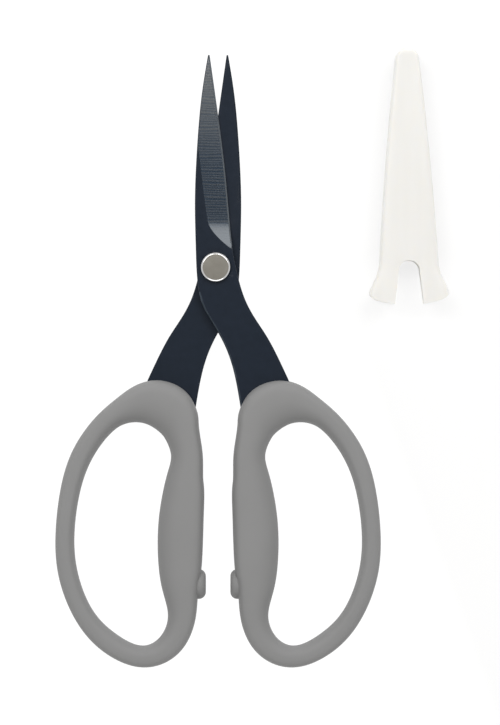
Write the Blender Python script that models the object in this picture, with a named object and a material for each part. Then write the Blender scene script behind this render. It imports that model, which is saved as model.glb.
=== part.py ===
"""Thread snips with ring handles, and the slip-on cover for their blades.

The snips lie flat with their front face up and their tips towards +Y, a few degrees open.
The origin is the centre of the pivot's front face, and the pivot turns about Z.

Each half is drawn in its own half frame: x runs from the snips' centre line towards that half's
handle, y towards the tips, and z from the plane between the blades out to that half's own side.
The rear half is the front half turned over about the centre line.
"""

import math

import bmesh
import bpy
import numpy as np
from mathutils import Matrix, Vector

MM = 0.001

# Fits
SEAT_GAP = 0.3 * MM  # between pieces that seat on each other
BLADE_GAP = 0.3 * MM  # between the inner faces of the two blades
RUNNING_GAP = 0.1 * MM  # round the pivot's barrel and its screw

# Steel halves
STEEL_THICKNESS = 2.0 * MM
BLADE_REACH = 52.8 * MM  # pivot axis to tip
CENTRE_LINE_X = 0.6 * MM  # the snips' centre line, from the pivot axis
TIP_OFFSET = -2.3 * MM  # the tip lies past the centre line in the open pose
TIP_WIDTH = 0.4 * MM
EDGE_END_Y = 4.3 * MM  # where the cutting edge stops, above the pivot
EDGE_END_X = 3.6 * MM
EDGE_BELLY = 0.4 * MM  # how far the cutting edge bows out of its chord
SPINE_WIDTH = 5.75 * MM  # centre line to the back of the blade at its widest
SPINE_SHAPE = ((0.73, 0.79), (0.94, 0.5), (1.0, 0.29), (0.96, 0.08))  # of that width, of the reach
SHANK_LENGTH = 28.6 * MM  # pivot axis to the handle
SHANK_BACK = ((-0.2893, 0.1119), (-0.2331, 0.3007), (-0.1433, 0.4196), (0.0562, 0.6329), (0.2135, 0.8951))
SHANK_FRONT = ((0.2781, 0.0839), (0.3792, 0.2832), (0.5309, 0.458), (0.7107, 0.6329), (1.0, 1.0))

# Grinding of the blades
BEVEL_WIDTH = 5.4 * MM  # ground face, measured in from the cutting edge
BEVEL_EDGE = 0.5 * MM  # steel left at the cutting edge by the main grind
GRIND_END_Y = 10.1 * MM  # where the ground face starts to ramp up to the flat
WHEEL_RADIUS = 31.6 * MM  # grinding wheel that leaves the ramp
PLUNGE_ANGLE = math.radians(7)  # crease between the ground face and the ramp
WHEEL_SWEEP = math.radians(20)
EDGE_LAND = 0.1 * MM  # steel left below the honed edge
HONE_ANGLE = math.radians(55)
HONE_WIDTH = 1.0 * MM  # of the stone, on each side of the edge
HOLLOW_DEPTH = 0.15 * MM  # hollow ground into the inner face
HOLLOW_WIDTH = 7.0 * MM
HOLLOW_LAND = 0.8 * MM  # flat kept along the cutting edge
HOLLOW_END_Y = 9.0 * MM

# Pivot
BARREL_RADIUS = 2.5 * MM
BARREL_WALL = 1.0 * MM  # round the screw
HEAD_LIP = 1.1 * MM  # how far the head stands out past the barrel
HEAD_THICKNESS = 0.9 * MM
HEAD_CHAMFER = 0.5 * MM
SCREW_GRIP = 4.0 * MM  # screw's length inside the barrel
SCREW_LIP = 0.7 * MM
SCREW_HEAD_THICKNESS = 0.8 * MM
SLOT_WIDTH = 0.9 * MM
SLOT_DEPTH = 0.4 * MM
WASHER_LIP = 0.9 * MM
WASHER_THICKNESS = 0.4 * MM

# Handles
LOOP_LENGTH = 55.5 * MM  # finger hole, along the snips
LOOP_WIDTH = 24.0 * MM  # finger hole, across them
LOOP_SIDE_X = 11.75 * MM  # centre line to the finger hole
SHOULDER_DEPTH = 10.0 * MM  # end of the shank to the finger hole, along the snips
COLLAR_OFFSET = 6.05 * MM  # finger hole's side to the shank's outer corner, across them
BAND_WIDTH = 4.7 * MM  # outer side of the loop
FOOT_WIDTH = 5.4 * MM  # bottom of the loop
HEEL_WIDTH = 7.05 * MM
PALM_WIDTH = 11.3 * MM  # swollen side beside the gap
NECK_WIDTH = 7.9 * MM
SHOULDER_WIDTH = 11.46 * MM  # over the tang
BAND_THICKNESS = 7.4 * MM
PALM_THICKNESS = 10.4 * MM
CREST_SHARE = 0.62  # where the palm's section is thickest, from the hole outwards
HOLE_SQUARENESS = 2.1  # of the section on the finger hole's side, where 2 is an ellipse
RIM_SQUARENESS = 3.4  # on its outer side
TANG_COVER = 2.0 * MM  # moulding left outside the tang
LOCK_HOLE_RADIUS = 1.5 * MM  # hole in the tang that the moulding fills

# Stop bumpers
BUMPER_RISE = 15.3 * MM  # above the finger hole's bottom
BUMPER_RADIUS = 3.7 * MM
BUMPER_PROUD = 1.7 * MM
BUMPER_SUNK = 1.3 * MM
STEM_RADIUS = 1.8 * MM
STEM_LENGTH = 2.6 * MM

# Blade cover
COVER_TIP_ROOM = 2.9 * MM  # left past the tips when the notch meets the pivot's head
COVER_SIDE_PLAY = 1.7 * MM  # room beside the closed blades, just above the flare
COVER_PLAY = 1.0 * MM  # room over and under them
COVER_WALL = 0.8 * MM
COVER_END_RADIUS = 3.05 * MM
COVER_BELLY = 0.35 * MM  # how far its sides bow out between the flare and the round end
COVER_FLARE = 2.6 * MM  # how far the mouth spreads on each side
COVER_FLARE_LENGTH = 10.6 * MM
COVER_SLANT = 1.7 * MM  # the mouth's outer corners stand back this far
FOOT_ROUND = 0.95 * MM  # and are rounded off by this much more
FOOT_TIGHTNESS = 11  # the higher, the nearer the corners the rounding stays
NOTCH_WIDTH = 5.2 * MM  # at its round end; it lets the mouth spread round the pivot
NOTCH_MOUTH = 7.2 * MM  # its width at the mouth
NOTCH_DEPTH = 11.0 * MM
COVER_PLACE = (48.2 * MM, -9.3 * MM)  # middle of the mouth, from the pivot axis
COVER_LEAN = math.radians(0.5)
COVER_SQUARENESS = 6.0

# Facets
CURVE_STEPS = 5
LOOP_STEPS = 4
SECTION_SIDES = 16
ROUND_SIDES = 48
COVER_SIDES = 24
ARC_STEPS = 8
SLEEVE_STEPS = 6
BUMPER_STEPS = 4
SMOOTH_ANGLE = math.radians(40)
MERGE_DISTANCE = 0.001 * MM
CUTTER_REACH = 20.0 * MM  # how far cutters run past the steel

RIDE_Z = BLADE_GAP / 2  # inner face of a blade, from the plane between them
FACE_Z = RIDE_Z + STEEL_THICKNESS  # outer face of a blade
PIVOT_FACE_Z = FACE_Z + SEAT_GAP + HEAD_THICKNESS
TABLE_Z = -PALM_THICKNESS / 2
LOOP_TOP_Y = -SHANK_LENGTH - SHOULDER_DEPTH
SHANK_SPREAD = LOOP_SIDE_X + COLLAR_OFFSET
HEAD_RADIUS = BARREL_RADIUS + HEAD_LIP
COVER_LENGTH = BLADE_REACH - HEAD_RADIUS + NOTCH_DEPTH + COVER_TIP_ROOM + COVER_WALL
COVER_ROUND_START = COVER_LENGTH - COVER_END_RADIUS
COVER_HALF_WIDTH = SPINE_WIDTH + COVER_SIDE_PLAY / 2 + COVER_WALL
COVER_MOUTH_HALF = COVER_HALF_WIDTH + COVER_FLARE
COVER_HALF_HOLLOW = FACE_Z + COVER_PLAY / 2

# The finger hole's outline: place across and along it, the width of moulding round it there,
# how much of the palm's extra thickness it has, and how far its crest has moved outwards
# (1 is CREST_SHARE, and below 0 it lies towards the hole).
LOOP_STATIONS = (
    (0.256, 0.007, SHOULDER_WIDTH, 0.95, 0.8),
    (0.46, 0.005, 0.611 * SHOULDER_WIDTH, 0.65, 0.5),
    (0.612, 0.0445, 1.18 * BAND_WIDTH, 0.35, 0.0),
    (0.80, 0.151, 1.13 * BAND_WIDTH, 0.10, -0.6),
    (0.935, 0.301, 1.05 * BAND_WIDTH, 0.00, -1.0),
    (1.0, 0.514, BAND_WIDTH, 0.00, -1.0),
    (0.957, 0.687, 1.03 * BAND_WIDTH, 0.00, -1.0),
    (0.798, 0.849, 1.05 * BAND_WIDTH, 0.00, -0.6),
    (0.56, 0.950, FOOT_WIDTH, 0.00, 0.0),
    (0.29, 1.000, FOOT_WIDTH, 0.05, 0.0),
    (0.107, 0.958, 0.88 * HEEL_WIDTH, 0.25, 0.2),
    (0.031, 0.864, HEEL_WIDTH, 0.60, 0.6),
    (0.096, 0.737, 0.867 * PALM_WIDTH, 0.90, 1.0),
    (0.1375, 0.530, PALM_WIDTH, 1.00, 1.0),
    (0.106, 0.366, 0.965 * PALM_WIDTH, 1.00, 1.0),
    (0.036, 0.227, 0.832 * PALM_WIDTH, 1.00, 0.9),
    (0.0, 0.144, NECK_WIDTH, 1.00, 0.8),
    (0.058, 0.075, 1.207 * NECK_WIDTH, 1.00, 0.8),
    (0.103, 0.0496, 0.992 * SHOULDER_WIDTH, 1.00, 0.8),
)
HEEL_STATION = 11
PALM_STATION = 13
NECK_STATION = 16
COLLAR_INNER = 17.25  # where the shank's two edges enter the moulding, counted in stations
COLLAR_OUTER = 18.75
LOCK_STATION = 18.5


def spline(points, steps, closed=False):
    """Points of a smooth curve through the given rows, with equal curvature on both sides of each.

    The first two columns are the place, and further columns are carried along.
    """
    rows = np.array(points, float)
    count = len(rows)
    after = np.roll(rows, -1, 0)
    gaps = np.linalg.norm((after - rows)[:, :2], axis=1) ** 0.5
    before_gaps = np.roll(gaps, 1)
    system = np.eye(count)
    bends = np.zeros_like(rows)
    inner = range(count) if closed else range(1, count - 1)
    for i in inner:
        nxt = (i + 1) % count
        system[i] = 0
        system[i, i - 1] = before_gaps[i]
        system[i, i] = 2 * (before_gaps[i] + gaps[i])
        system[i, nxt] = gaps[i]
        bends[i] = 6 * ((rows[nxt] - rows[i]) / gaps[i] - (rows[i] - rows[i - 1]) / before_gaps[i])
    second = np.linalg.solve(system, bends)
    curve = []
    for i in range(count if closed else count - 1):
        nxt = (i + 1) % count
        for share in np.arange(steps) / steps:
            rest = 1 - share
            bow = (rest**3 - rest) * second[i] + (share**3 - share) * second[nxt]
            curve.append(rest * rows[i] + share * rows[nxt] + bow * gaps[i] ** 2 / 6)
    if not closed:
        curve.append(rows[-1])
    return np.array(curve)


def outward(curve):
    """Unit normals of a closed curve that runs clockwise, pointing out of it."""
    along = np.roll(curve, -1, 0) - np.roll(curve, 1, 0)
    along /= np.linalg.norm(along, axis=1)[:, None]
    return np.stack([-along[:, 1], along[:, 0]], 1)


def grow(points, distance):
    """A counterclockwise outline with every side moved out by the distance."""
    corners = np.array(points, float)
    sides = np.roll(corners, -1, 0) - corners
    sides /= np.linalg.norm(sides, axis=1)[:, None]
    normals = np.stack([sides[:, 1], -sides[:, 0]], 1)
    before = np.roll(normals, 1, 0)
    mitre = (normals + before) / (1 + (normals * before).sum(1))[:, None]
    return corners + distance * mitre


class Loop:
    """The handle's rails: the finger hole's outline and the moulding round it, in the half frame."""

    def __init__(self, steps):
        places = []
        for across, along, width, swell, shift in LOOP_STATIONS:
            x = LOOP_SIDE_X + across * LOOP_WIDTH
            y = LOOP_TOP_Y - along * LOOP_LENGTH
            thickness = BAND_THICKNESS + swell * (PALM_THICKNESS - BAND_THICKNESS)
            crest = 0.5 + shift * (CREST_SHARE - 0.5)
            places.append((x, y, width, thickness, crest))
        rows = spline(places, steps, closed=True)
        self.steps = steps
        self.hole = rows[:, :2]
        self.normal = outward(self.hole)
        self.width, self.thickness, self.crest = rows[:, 2], rows[:, 3], rows[:, 4]

    def index(self, station):
        """Nearest point of the rails to a place counted in stations."""
        return round(station * self.steps) % len(self.hole)

    def at(self, index, inset):
        """A point of the band, that far out from the finger hole."""
        return self.hole[index] + self.normal[index] * inset

    def rim(self, index):
        """A point of the handle's outer edge."""
        return self.at(index, self.width[index])

    def lock(self):
        """Where the moulding passes through the tang, in the middle of the shoulder."""
        index = self.index(LOCK_STATION)
        return self.at(index, self.width[index] / 2)


def shank_side(shape):
    """Points of one edge of the shank, given as shares of its spread and its length."""
    return [Vector((across * SHANK_SPREAD, -along * SHANK_LENGTH)) for across, along in shape]


def edge_side():
    """The cutting edge and the shank's outer edge, from the tip down to the handle."""
    tip = Vector((TIP_OFFSET + TIP_WIDTH / 2, BLADE_REACH))
    heel = Vector((EDGE_END_X, EDGE_END_Y))
    chord = heel - tip
    bow = Vector((-chord.y, chord.x)).normalized() * EDGE_BELLY
    points = [tip]
    for share in (1 / 3, 2 / 3):
        points.append(tip + chord * share + bow * math.sin(math.pi * share))
    points.append(heel)
    return points + shank_side(SHANK_FRONT)


def spine_side():
    """The back of the blade and the shank's inner edge, from the tip down to the handle."""
    points = [Vector((TIP_OFFSET - TIP_WIDTH / 2, BLADE_REACH))]
    points += [Vector((-across * SPINE_WIDTH, along * BLADE_REACH)) for across, along in SPINE_SHAPE]
    return points + shank_side(SHANK_BACK)


def tang_side(loop, first, last, inset_from_rim):
    """One edge of the tang inside the moulding, TANG_COVER in from the rim or from the finger hole."""
    points = []
    step = 1 if last > first else -1
    for i in range(first, last + step, step):
        inset = loop.width[i] - TANG_COVER if inset_from_rim else TANG_COVER
        points.append(loop.at(i, inset))
    return points


def steel_outline(loop):
    """Counterclockwise outline of one half's steel: blade, shank and tang."""
    inner = loop.index(COLLAR_INNER)
    outer = loop.index(COLLAR_OUTER)
    neck = loop.index(NECK_STATION)
    back = spline([*spine_side(), loop.at(inner, loop.width[inner] - SEAT_GAP)], CURVE_STEPS)
    front = spline(edge_side(), CURVE_STEPS)
    tang_back = tang_side(loop, inner - 1, neck, True)
    tang_front = tang_side(loop, neck, outer, False)
    return [*back, *tang_back, *tang_front, *front[::-1]]


def edge_frame():
    """Place and direction of the cutting edge's chord: origin at the heel, +Y to the tip."""
    heel = Vector((EDGE_END_X, EDGE_END_Y, 0))
    along = (Vector((TIP_OFFSET, BLADE_REACH, 0)) - heel).normalized()
    across = along.cross(Vector((0, 0, 1)))
    return Matrix((across, along, Vector((0, 0, 1)))).transposed().to_4x4(), heel


def new_object(name, mesh, parent, material=None):
    obj = bpy.data.objects.new(name, mesh)
    bpy.context.scene.collection.objects.link(obj)
    obj.parent = parent
    if material:
        mesh.materials.append(material)
    return obj


def mesh_from(name, bm):
    bmesh.ops.recalc_face_normals(bm, faces=bm.faces)
    mesh = bpy.data.meshes.new(name)
    bm.to_mesh(mesh)
    bm.free()
    return mesh


def smooth(obj):
    obj.data.shade_smooth()
    obj.data.set_sharp_from_angle(angle=SMOOTH_ANGLE)


def prism(name, outline, low, high):
    """A flat plate with the given outline, from z low to z high."""
    bm = bmesh.new()
    face = bm.faces.new([bm.verts.new((x, y, low)) for x, y in outline])
    made = bmesh.ops.extrude_face_region(bm, geom=[face])
    top = [v for v in made["geom"] if isinstance(v, bmesh.types.BMVert)]
    bmesh.ops.translate(bm, verts=top, vec=(0, 0, high - low))
    return mesh_from(name, bm)


def turned(name, profile):
    """A round piece about Z. Its (radius, z) points run from axis to axis, or close on themselves."""
    bm = bmesh.new()
    verts = [bm.verts.new((r, 0, z)) for r, z in profile]
    edges = [bm.edges.new(pair) for pair in zip(verts, verts[1:])]
    if profile[0][0] > 0:
        edges.append(bm.edges.new((verts[-1], verts[0])))
    bmesh.ops.spin(
        bm, geom=verts + edges, axis=(0, 0, 1), cent=(0, 0, 0), angle=2 * math.pi, steps=ROUND_SIDES
    )
    bmesh.ops.remove_doubles(bm, verts=bm.verts, dist=MERGE_DISTANCE)
    return mesh_from(name, bm)


def lofted(name, rings, closed):
    """A skin over rings of points. A closed loft joins its last ring to its first; an open one is capped."""
    bm = bmesh.new()
    made = [[bm.verts.new(p) for p in ring] for ring in rings]
    pairs = list(zip(made, made[1:] + made[:1])) if closed else list(zip(made, made[1:]))
    for low, high in pairs:
        for k, v in enumerate(low):
            bm.faces.new((low[k - 1], v, high[k], high[k - 1]))
    if not closed:
        bm.faces.new(made[0])
        bm.faces.new(made[-1])
    return mesh_from(name, bm)


def round_tool(name, place, radius, parent):
    """A bar along Z at the given x and y, for bores."""
    profile = [(0, -CUTTER_REACH), (radius, -CUTTER_REACH), (radius, CUTTER_REACH), (0, CUTTER_REACH)]
    tool = new_object(name, turned(name, profile), parent)
    tool.data.transform(Matrix.Translation((*place, 0)))
    return tool


def cut(obj, tool):
    """Cuts the hidden tool out of the object."""
    tool.hide_render = True
    tool.display_type = "WIRE"
    boolean = obj.modifiers.new(tool.name, "BOOLEAN")
    boolean.operation = "DIFFERENCE"
    boolean.solver = "EXACT"
    boolean.object = tool


def superellipse(angle, squareness):
    """Unit point of a squared-off circle."""
    c, s = math.cos(angle), math.sin(angle)
    power = 2 / squareness
    return math.copysign(abs(c) ** power, c), math.copysign(abs(s) ** power, s)


def grind_tool(parent):
    """The main grind: a flat that slopes down to the cutting edge, with the wheel's ramp at its end.

    The ramp starts at a crease that runs straight across the snips.
    """
    frame, heel = edge_frame()
    across, along = frame.col[0], frame.col[1]
    slope = math.atan2(STEEL_THICKNESS - BEVEL_EDGE, BEVEL_WIDTH)
    ramp_start = (GRIND_END_Y - EDGE_END_Y + BEVEL_WIDTH * across.y) / along.y
    profile = [(BLADE_REACH + CUTTER_REACH, 0)]
    for step in range(ARC_STEPS + 1):
        turn = PLUNGE_ANGLE + WHEEL_SWEEP * step / ARC_STEPS
        run = WHEEL_RADIUS * (math.sin(turn) - math.sin(PLUNGE_ANGLE))
        rise = WHEEL_RADIUS * (math.cos(PLUNGE_ANGLE) - math.cos(turn))
        profile.append((ramp_start - run, rise))
    profile.append((profile[-1][0], CUTTER_REACH))
    profile.append((BLADE_REACH + CUTTER_REACH, CUTTER_REACH))
    tool = new_object("grind_tool", prism("grind_tool", profile, -CUTTER_REACH, CUTTER_REACH), parent)
    stand = Matrix(((0, 0, 1), (1, 0, 0), (0, 1, 0))).to_4x4()
    place = Matrix.Translation(heel + Vector((0, 0, FACE_Z)))
    shift = Matrix.Translation((-BEVEL_WIDTH, 0, 0))
    square = Matrix(((1, 0, 0), (-across.y / along.y, 1, 0), (0, 0, 1))).to_4x4()
    tool.data.transform(place @ frame @ shift @ square @ Matrix.Rotation(slope, 4, "Y") @ stand)
    return tool


def hone_tool(parent):
    """The honed edge: a steep narrow facet that follows the cutting edge."""
    edge = spline(edge_side()[:4], CURVE_STEPS)
    along = np.gradient(edge, axis=0)
    along /= np.linalg.norm(along, axis=1)[:, None]
    out = np.stack([-along[:, 1], along[:, 0]], 1)
    rise = HONE_WIDTH * math.tan(HONE_ANGLE)
    low = RIDE_Z + EDGE_LAND
    section = [(-HONE_WIDTH, low + rise), (HONE_WIDTH, low - rise)]
    section += [(HONE_WIDTH, CUTTER_REACH), (-HONE_WIDTH, CUTTER_REACH)]
    ends = [edge[0] - along[0] * HONE_WIDTH, *edge, edge[-1] + along[-1] * HONE_WIDTH]
    outs = [out[0], *out, out[-1]]
    rings = []
    for place, side in zip(ends, outs):
        rings.append([(*(place + side * x), z) for x, z in section])
    return new_object("hone_tool", lofted("hone_tool", rings, closed=False), parent)


def hollow_tool(parent):
    """The hollow of the inner face: a shallow trough that leaves a land along the cutting edge."""
    frame, heel = edge_frame()
    half = HOLLOW_WIDTH / 2
    radius = (half**2 + HOLLOW_DEPTH**2) / (2 * HOLLOW_DEPTH)
    span = math.asin(half / radius)
    profile = [(half, -CUTTER_REACH)]
    for step in range(ARC_STEPS + 1):
        turn = span * (1 - 2 * step / ARC_STEPS)
        profile.append((radius * math.sin(turn), HOLLOW_DEPTH - radius * (1 - math.cos(turn))))
    profile.append((-half, -CUTTER_REACH))
    start = HOLLOW_END_Y - EDGE_END_Y
    mesh = prism("hollow_tool", profile, -BLADE_REACH - CUTTER_REACH, -start)
    tool = new_object("hollow_tool", mesh, parent)
    stand = Matrix.Rotation(math.pi / 2, 4, "X")
    shift = Matrix.Translation((-HOLLOW_LAND - half, 0, 0))
    place = Matrix.Translation(heel + Vector((0, 0, RIDE_Z)))
    tool.data.transform(place @ frame @ shift @ stand)
    return tool


def steel_half(name, parent, outline, loop, hole_x, material):
    """One blade with its shank and tang, from one plate."""
    blade = new_object(name, prism(name, outline, RIDE_Z, FACE_Z), parent, material)
    cut(blade, grind_tool(parent))
    cut(blade, hone_tool(parent))
    cut(blade, hollow_tool(parent))
    cut(blade, round_tool("pivot_bore_tool", (hole_x, 0), BARREL_RADIUS + RUNNING_GAP, parent))
    cut(blade, round_tool("lock_bore_tool", loop.lock(), LOCK_HOLE_RADIUS, parent))


def tang_tool(parent, outline, loop):
    """The seat that the steel leaves in the moulding, with the plug that fills the tang's hole."""
    low, high = RIDE_Z - SEAT_GAP, FACE_Z + SEAT_GAP
    tool = new_object("tang_tool", prism("tang_tool", grow(outline, SEAT_GAP), low, high), parent)
    cut(tool, round_tool("plug_tool", loop.lock(), LOCK_HOLE_RADIUS - SEAT_GAP, parent))
    return tool


def bumper_profile(extra):
    """Half section of a stop bumper, grown by the given clearance. Its axis points out of the handle."""
    head, stem = BUMPER_RADIUS + extra, STEM_RADIUS + extra
    flat = head - BUMPER_PROUD
    profile = [(0, BUMPER_PROUD + extra)]
    for step in range(BUMPER_STEPS + 1):
        turn = math.pi / 2 * step / BUMPER_STEPS
        profile.append((flat + BUMPER_PROUD * math.sin(turn), extra + BUMPER_PROUD * math.cos(turn)))
    profile.append((head, -BUMPER_SUNK - extra))
    profile.append((stem, -BUMPER_SUNK - extra))
    foot = -BUMPER_SUNK - STEM_LENGTH - extra
    profile += [(stem, foot), (0, foot)]
    return profile


def bumper_place(loop):
    """Sets a bumper's axis across the snips, out of the palm's side."""
    palm = range(loop.index(HEEL_STATION), loop.index(PALM_STATION))
    rim_x, rim_y = np.array([loop.rim(i) for i in palm]).T
    seat_y = LOOP_TOP_Y - LOOP_LENGTH + BUMPER_RISE
    seat_x = np.interp(seat_y, rim_y, rim_x)
    facing = Matrix.Rotation(-math.pi / 2, 4, "Y")
    return Matrix.Translation((seat_x, seat_y, 0)) @ facing


def bumper(name, parent, loop, material):
    """A stop bumper: a round button with a stem, set into the palm's side."""
    obj = new_object(name, turned(name, bumper_profile(0)), parent, material)
    obj.data.transform(bumper_place(loop))
    smooth(obj)


def handle(name, parent, loop, outline, material):
    """A moulded ring handle: sections between the two rails, with seats for the tang and the bumper."""
    rings = []
    for i in range(len(loop.hole)):
        inside = loop.crest[i] * loop.width[i]
        outside = loop.width[i] - inside
        ring = []
        for k in range(SECTION_SIDES):
            angle = 2 * math.pi * k / SECTION_SIDES
            towards_rim = math.cos(angle) > 0
            c, s = superellipse(angle, RIM_SQUARENESS if towards_rim else HOLE_SQUARENESS)
            inset = inside + c * (outside if towards_rim else inside)
            ring.append((*loop.at(i, inset), s * loop.thickness[i] / 2))
        rings.append(ring)
    obj = new_object(name, lofted(name, rings, closed=True), parent, material)
    cut(obj, tang_tool(parent, outline, loop))
    seat = new_object("bumper_tool", turned("bumper_tool", bumper_profile(SEAT_GAP)), parent)
    seat.data.transform(bumper_place(loop))
    cut(obj, seat)
    smooth(obj)


def half(side, parent, loop, materials):
    """One half of the snips: 1 is the front one, with the right handle, and -1 the rear one."""
    blade_name, handle_side = ("front", "right") if side > 0 else ("rear", "left")
    turn = bpy.data.objects.new(f"{blade_name}_half", None)
    bpy.context.scene.collection.objects.link(turn)
    turn.parent = parent
    frame = bpy.data.objects.new(f"{blade_name}_frame", None)
    bpy.context.scene.collection.objects.link(frame)
    frame.parent = turn
    frame.location.x = CENTRE_LINE_X
    frame.rotation_euler.y = 0 if side > 0 else math.pi
    outline = steel_outline(loop)
    steel_half(f"{blade_name}_blade", frame, outline, loop, -side * CENTRE_LINE_X, materials["steel"])
    handle(f"{handle_side}_handle", frame, loop, outline, materials["moulding"])
    bumper(f"{handle_side}_bumper", frame, loop, materials["bumper"])


def pivot(parent, materials):
    """The pivot: a headed post through both blades, and the screw and washer that close it."""
    head_low = FACE_Z + SEAT_GAP
    washer_high = -FACE_Z - SEAT_GAP
    washer_low = washer_high - WASHER_THICKNESS
    screw_high = washer_low - SEAT_GAP
    screw_low = screw_high - SCREW_HEAD_THICKNESS
    screw_end = screw_high + SCREW_GRIP
    bore_radius = BARREL_RADIUS - BARREL_WALL
    screw_radius = bore_radius - RUNNING_GAP
    screw_head = BARREL_RADIUS + SCREW_LIP
    post = [
        (0, PIVOT_FACE_Z),
        (HEAD_RADIUS - HEAD_CHAMFER, PIVOT_FACE_Z),
        (HEAD_RADIUS, PIVOT_FACE_Z - HEAD_CHAMFER),
        (HEAD_RADIUS, head_low),
        (BARREL_RADIUS, head_low),
        (BARREL_RADIUS, washer_low),
        (bore_radius, washer_low),
        (bore_radius, screw_end + SEAT_GAP),
        (0, screw_end + SEAT_GAP),
    ]
    screw = [
        (0, screw_end),
        (screw_radius, screw_end),
        (screw_radius, screw_high),
        (screw_head, screw_high),
        (screw_head, screw_low + HEAD_CHAMFER),
        (screw_head - HEAD_CHAMFER, screw_low),
        (0, screw_low),
    ]
    washer_bore = BARREL_RADIUS + RUNNING_GAP
    washer = [
        (washer_bore, washer_high),
        (BARREL_RADIUS + WASHER_LIP, washer_high),
        (BARREL_RADIUS + WASHER_LIP, washer_low),
        (washer_bore, washer_low),
    ]
    for name, profile in (("pivot_post", post), ("pivot_screw", screw), ("pivot_washer", washer)):
        obj = new_object(name, turned(name, profile), parent, materials["pivot"])
        smooth(obj)
    slot_half = SLOT_WIDTH / 2
    ends = CUTTER_REACH
    slot_outline = [(-ends, -slot_half), (ends, -slot_half), (ends, slot_half), (-ends, slot_half)]
    slot = prism("slot_tool", slot_outline, screw_low - CUTTER_REACH, screw_low + SLOT_DEPTH)
    cut(bpy.data.objects["pivot_screw"], new_object("slot_tool", slot, parent))


def cover_half_width(y):
    """Half the cover's outer width at a distance y above its mouth, up to the start of its round end."""
    if y < COVER_FLARE_LENGTH:
        spread = 1 - y / COVER_FLARE_LENGTH
        return COVER_HALF_WIDTH + COVER_FLARE * spread * spread * (3 - 2 * spread)
    share = (y - COVER_FLARE_LENGTH) / (COVER_ROUND_START - COVER_FLARE_LENGTH)
    taper = COVER_HALF_WIDTH + share * (COVER_END_RADIUS - COVER_HALF_WIDTH)
    return taper + COVER_BELLY * math.sin(math.pi * share)


def cover_ring(y, half_width, half_depth):
    """One section of the cover. Near the mouth its outer corners stand back and are rounded off."""
    near_mouth = max(0, 1 - y / COVER_FLARE_LENGTH)
    ring = []
    for k in range(COVER_SIDES):
        c, s = superellipse(2 * math.pi * k / COVER_SIDES, COVER_SQUARENESS)
        out = abs(c) * half_width / COVER_MOUTH_HALF
        back = COVER_SLANT * near_mouth * out**2 + FOOT_ROUND * near_mouth**3 * out**FOOT_TIGHTNESS
        ring.append((c * half_width, y + back, s * half_depth))
    return ring


def notch_tool(parent):
    """The notch through both faces of the cover: round at its end, and wider towards the mouth."""
    end_half, mouth_half = NOTCH_WIDTH / 2, NOTCH_MOUTH / 2
    centre_y = NOTCH_DEPTH - end_half
    outline = [(-mouth_half, 0), (-mouth_half, -CUTTER_REACH), (mouth_half, -CUTTER_REACH), (mouth_half, 0)]
    for step in range(2 * ARC_STEPS + 1):
        turn = math.pi * step / (2 * ARC_STEPS)
        outline.append((end_half * math.cos(turn), centre_y + end_half * math.sin(turn)))
    return new_object("notch_tool", prism("notch_tool", outline, -CUTTER_REACH, CUTTER_REACH), parent)


def blade_cover(parent, material):
    """The slip-on cover: a flat tapered sleeve, closed at the tips, with a flared and notched mouth."""
    outer_half = COVER_HALF_HOLLOW + COVER_WALL
    inner_end = COVER_END_RADIUS - COVER_WALL
    sleeve_length = COVER_ROUND_START - COVER_FLARE_LENGTH
    heights = [COVER_FLARE_LENGTH * step / ARC_STEPS for step in range(ARC_STEPS)]
    heights += [COVER_FLARE_LENGTH + sleeve_length * step / SLEEVE_STEPS for step in range(SLEEVE_STEPS)]
    outer = []
    inner = []
    for y in heights:
        half_width = cover_half_width(y)
        outer.append(cover_ring(y, half_width, outer_half))
        inner.append(cover_ring(y, half_width - COVER_WALL, COVER_HALF_HOLLOW))
    for step in range(ARC_STEPS):
        turn = math.pi / 2 * step / ARC_STEPS
        across, rise = math.cos(turn), math.sin(turn)
        fall = (1 - rise**COVER_SQUARENESS) ** (1 / COVER_SQUARENESS)
        outer_y = COVER_ROUND_START + COVER_END_RADIUS * rise
        inner_y = COVER_ROUND_START + inner_end * rise
        outer.append(cover_ring(outer_y, COVER_END_RADIUS * across, outer_half * fall))
        inner.append(cover_ring(inner_y, inner_end * across, COVER_HALF_HOLLOW * fall))
    mesh = lofted("blade_cover", inner[::-1] + outer, closed=False)
    obj = new_object("blade_cover", mesh, parent, material)
    tool = notch_tool(parent)
    cut(obj, tool)
    for piece in (obj, tool):
        piece.location = (*COVER_PLACE, TABLE_Z + outer_half)
        piece.rotation_euler.z = COVER_LEAN
    smooth(obj)


def make_material(name, colour, metallic, roughness):
    material = bpy.data.materials.new(name)
    material.use_nodes = True
    shader = material.node_tree.nodes["Principled BSDF"]
    shader.inputs["Base Color"].default_value = (*colour, 1)
    shader.inputs["Metallic"].default_value = metallic
    shader.inputs["Roughness"].default_value = roughness
    return material


def build():
    for obj in list(bpy.data.objects):
        bpy.data.objects.remove(obj)
    materials = {
        "steel": make_material("coated_steel", (0.018, 0.025, 0.036), 0.6, 0.45),
        "moulding": make_material("soft_grey_moulding", (0.27, 0.27, 0.27), 0.0, 0.6),
        "bumper": make_material("grey_rubber", (0.24, 0.24, 0.24), 0.0, 0.7),
        "pivot": make_material("nickel_plate", (0.55, 0.53, 0.48), 1.0, 0.3),
        "cover": make_material("natural_polythene", (0.88, 0.87, 0.84), 0.0, 0.45),
    }
    snips = bpy.data.objects.new("snips", None)
    bpy.context.scene.collection.objects.link(snips)
    snips.location.z = -PIVOT_FACE_Z
    loop = Loop(LOOP_STEPS)
    half(1, snips, loop, materials)
    half(-1, snips, loop, materials)
    pivot(snips, materials)
    blade_cover(snips, materials["cover"])


build()
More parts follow.
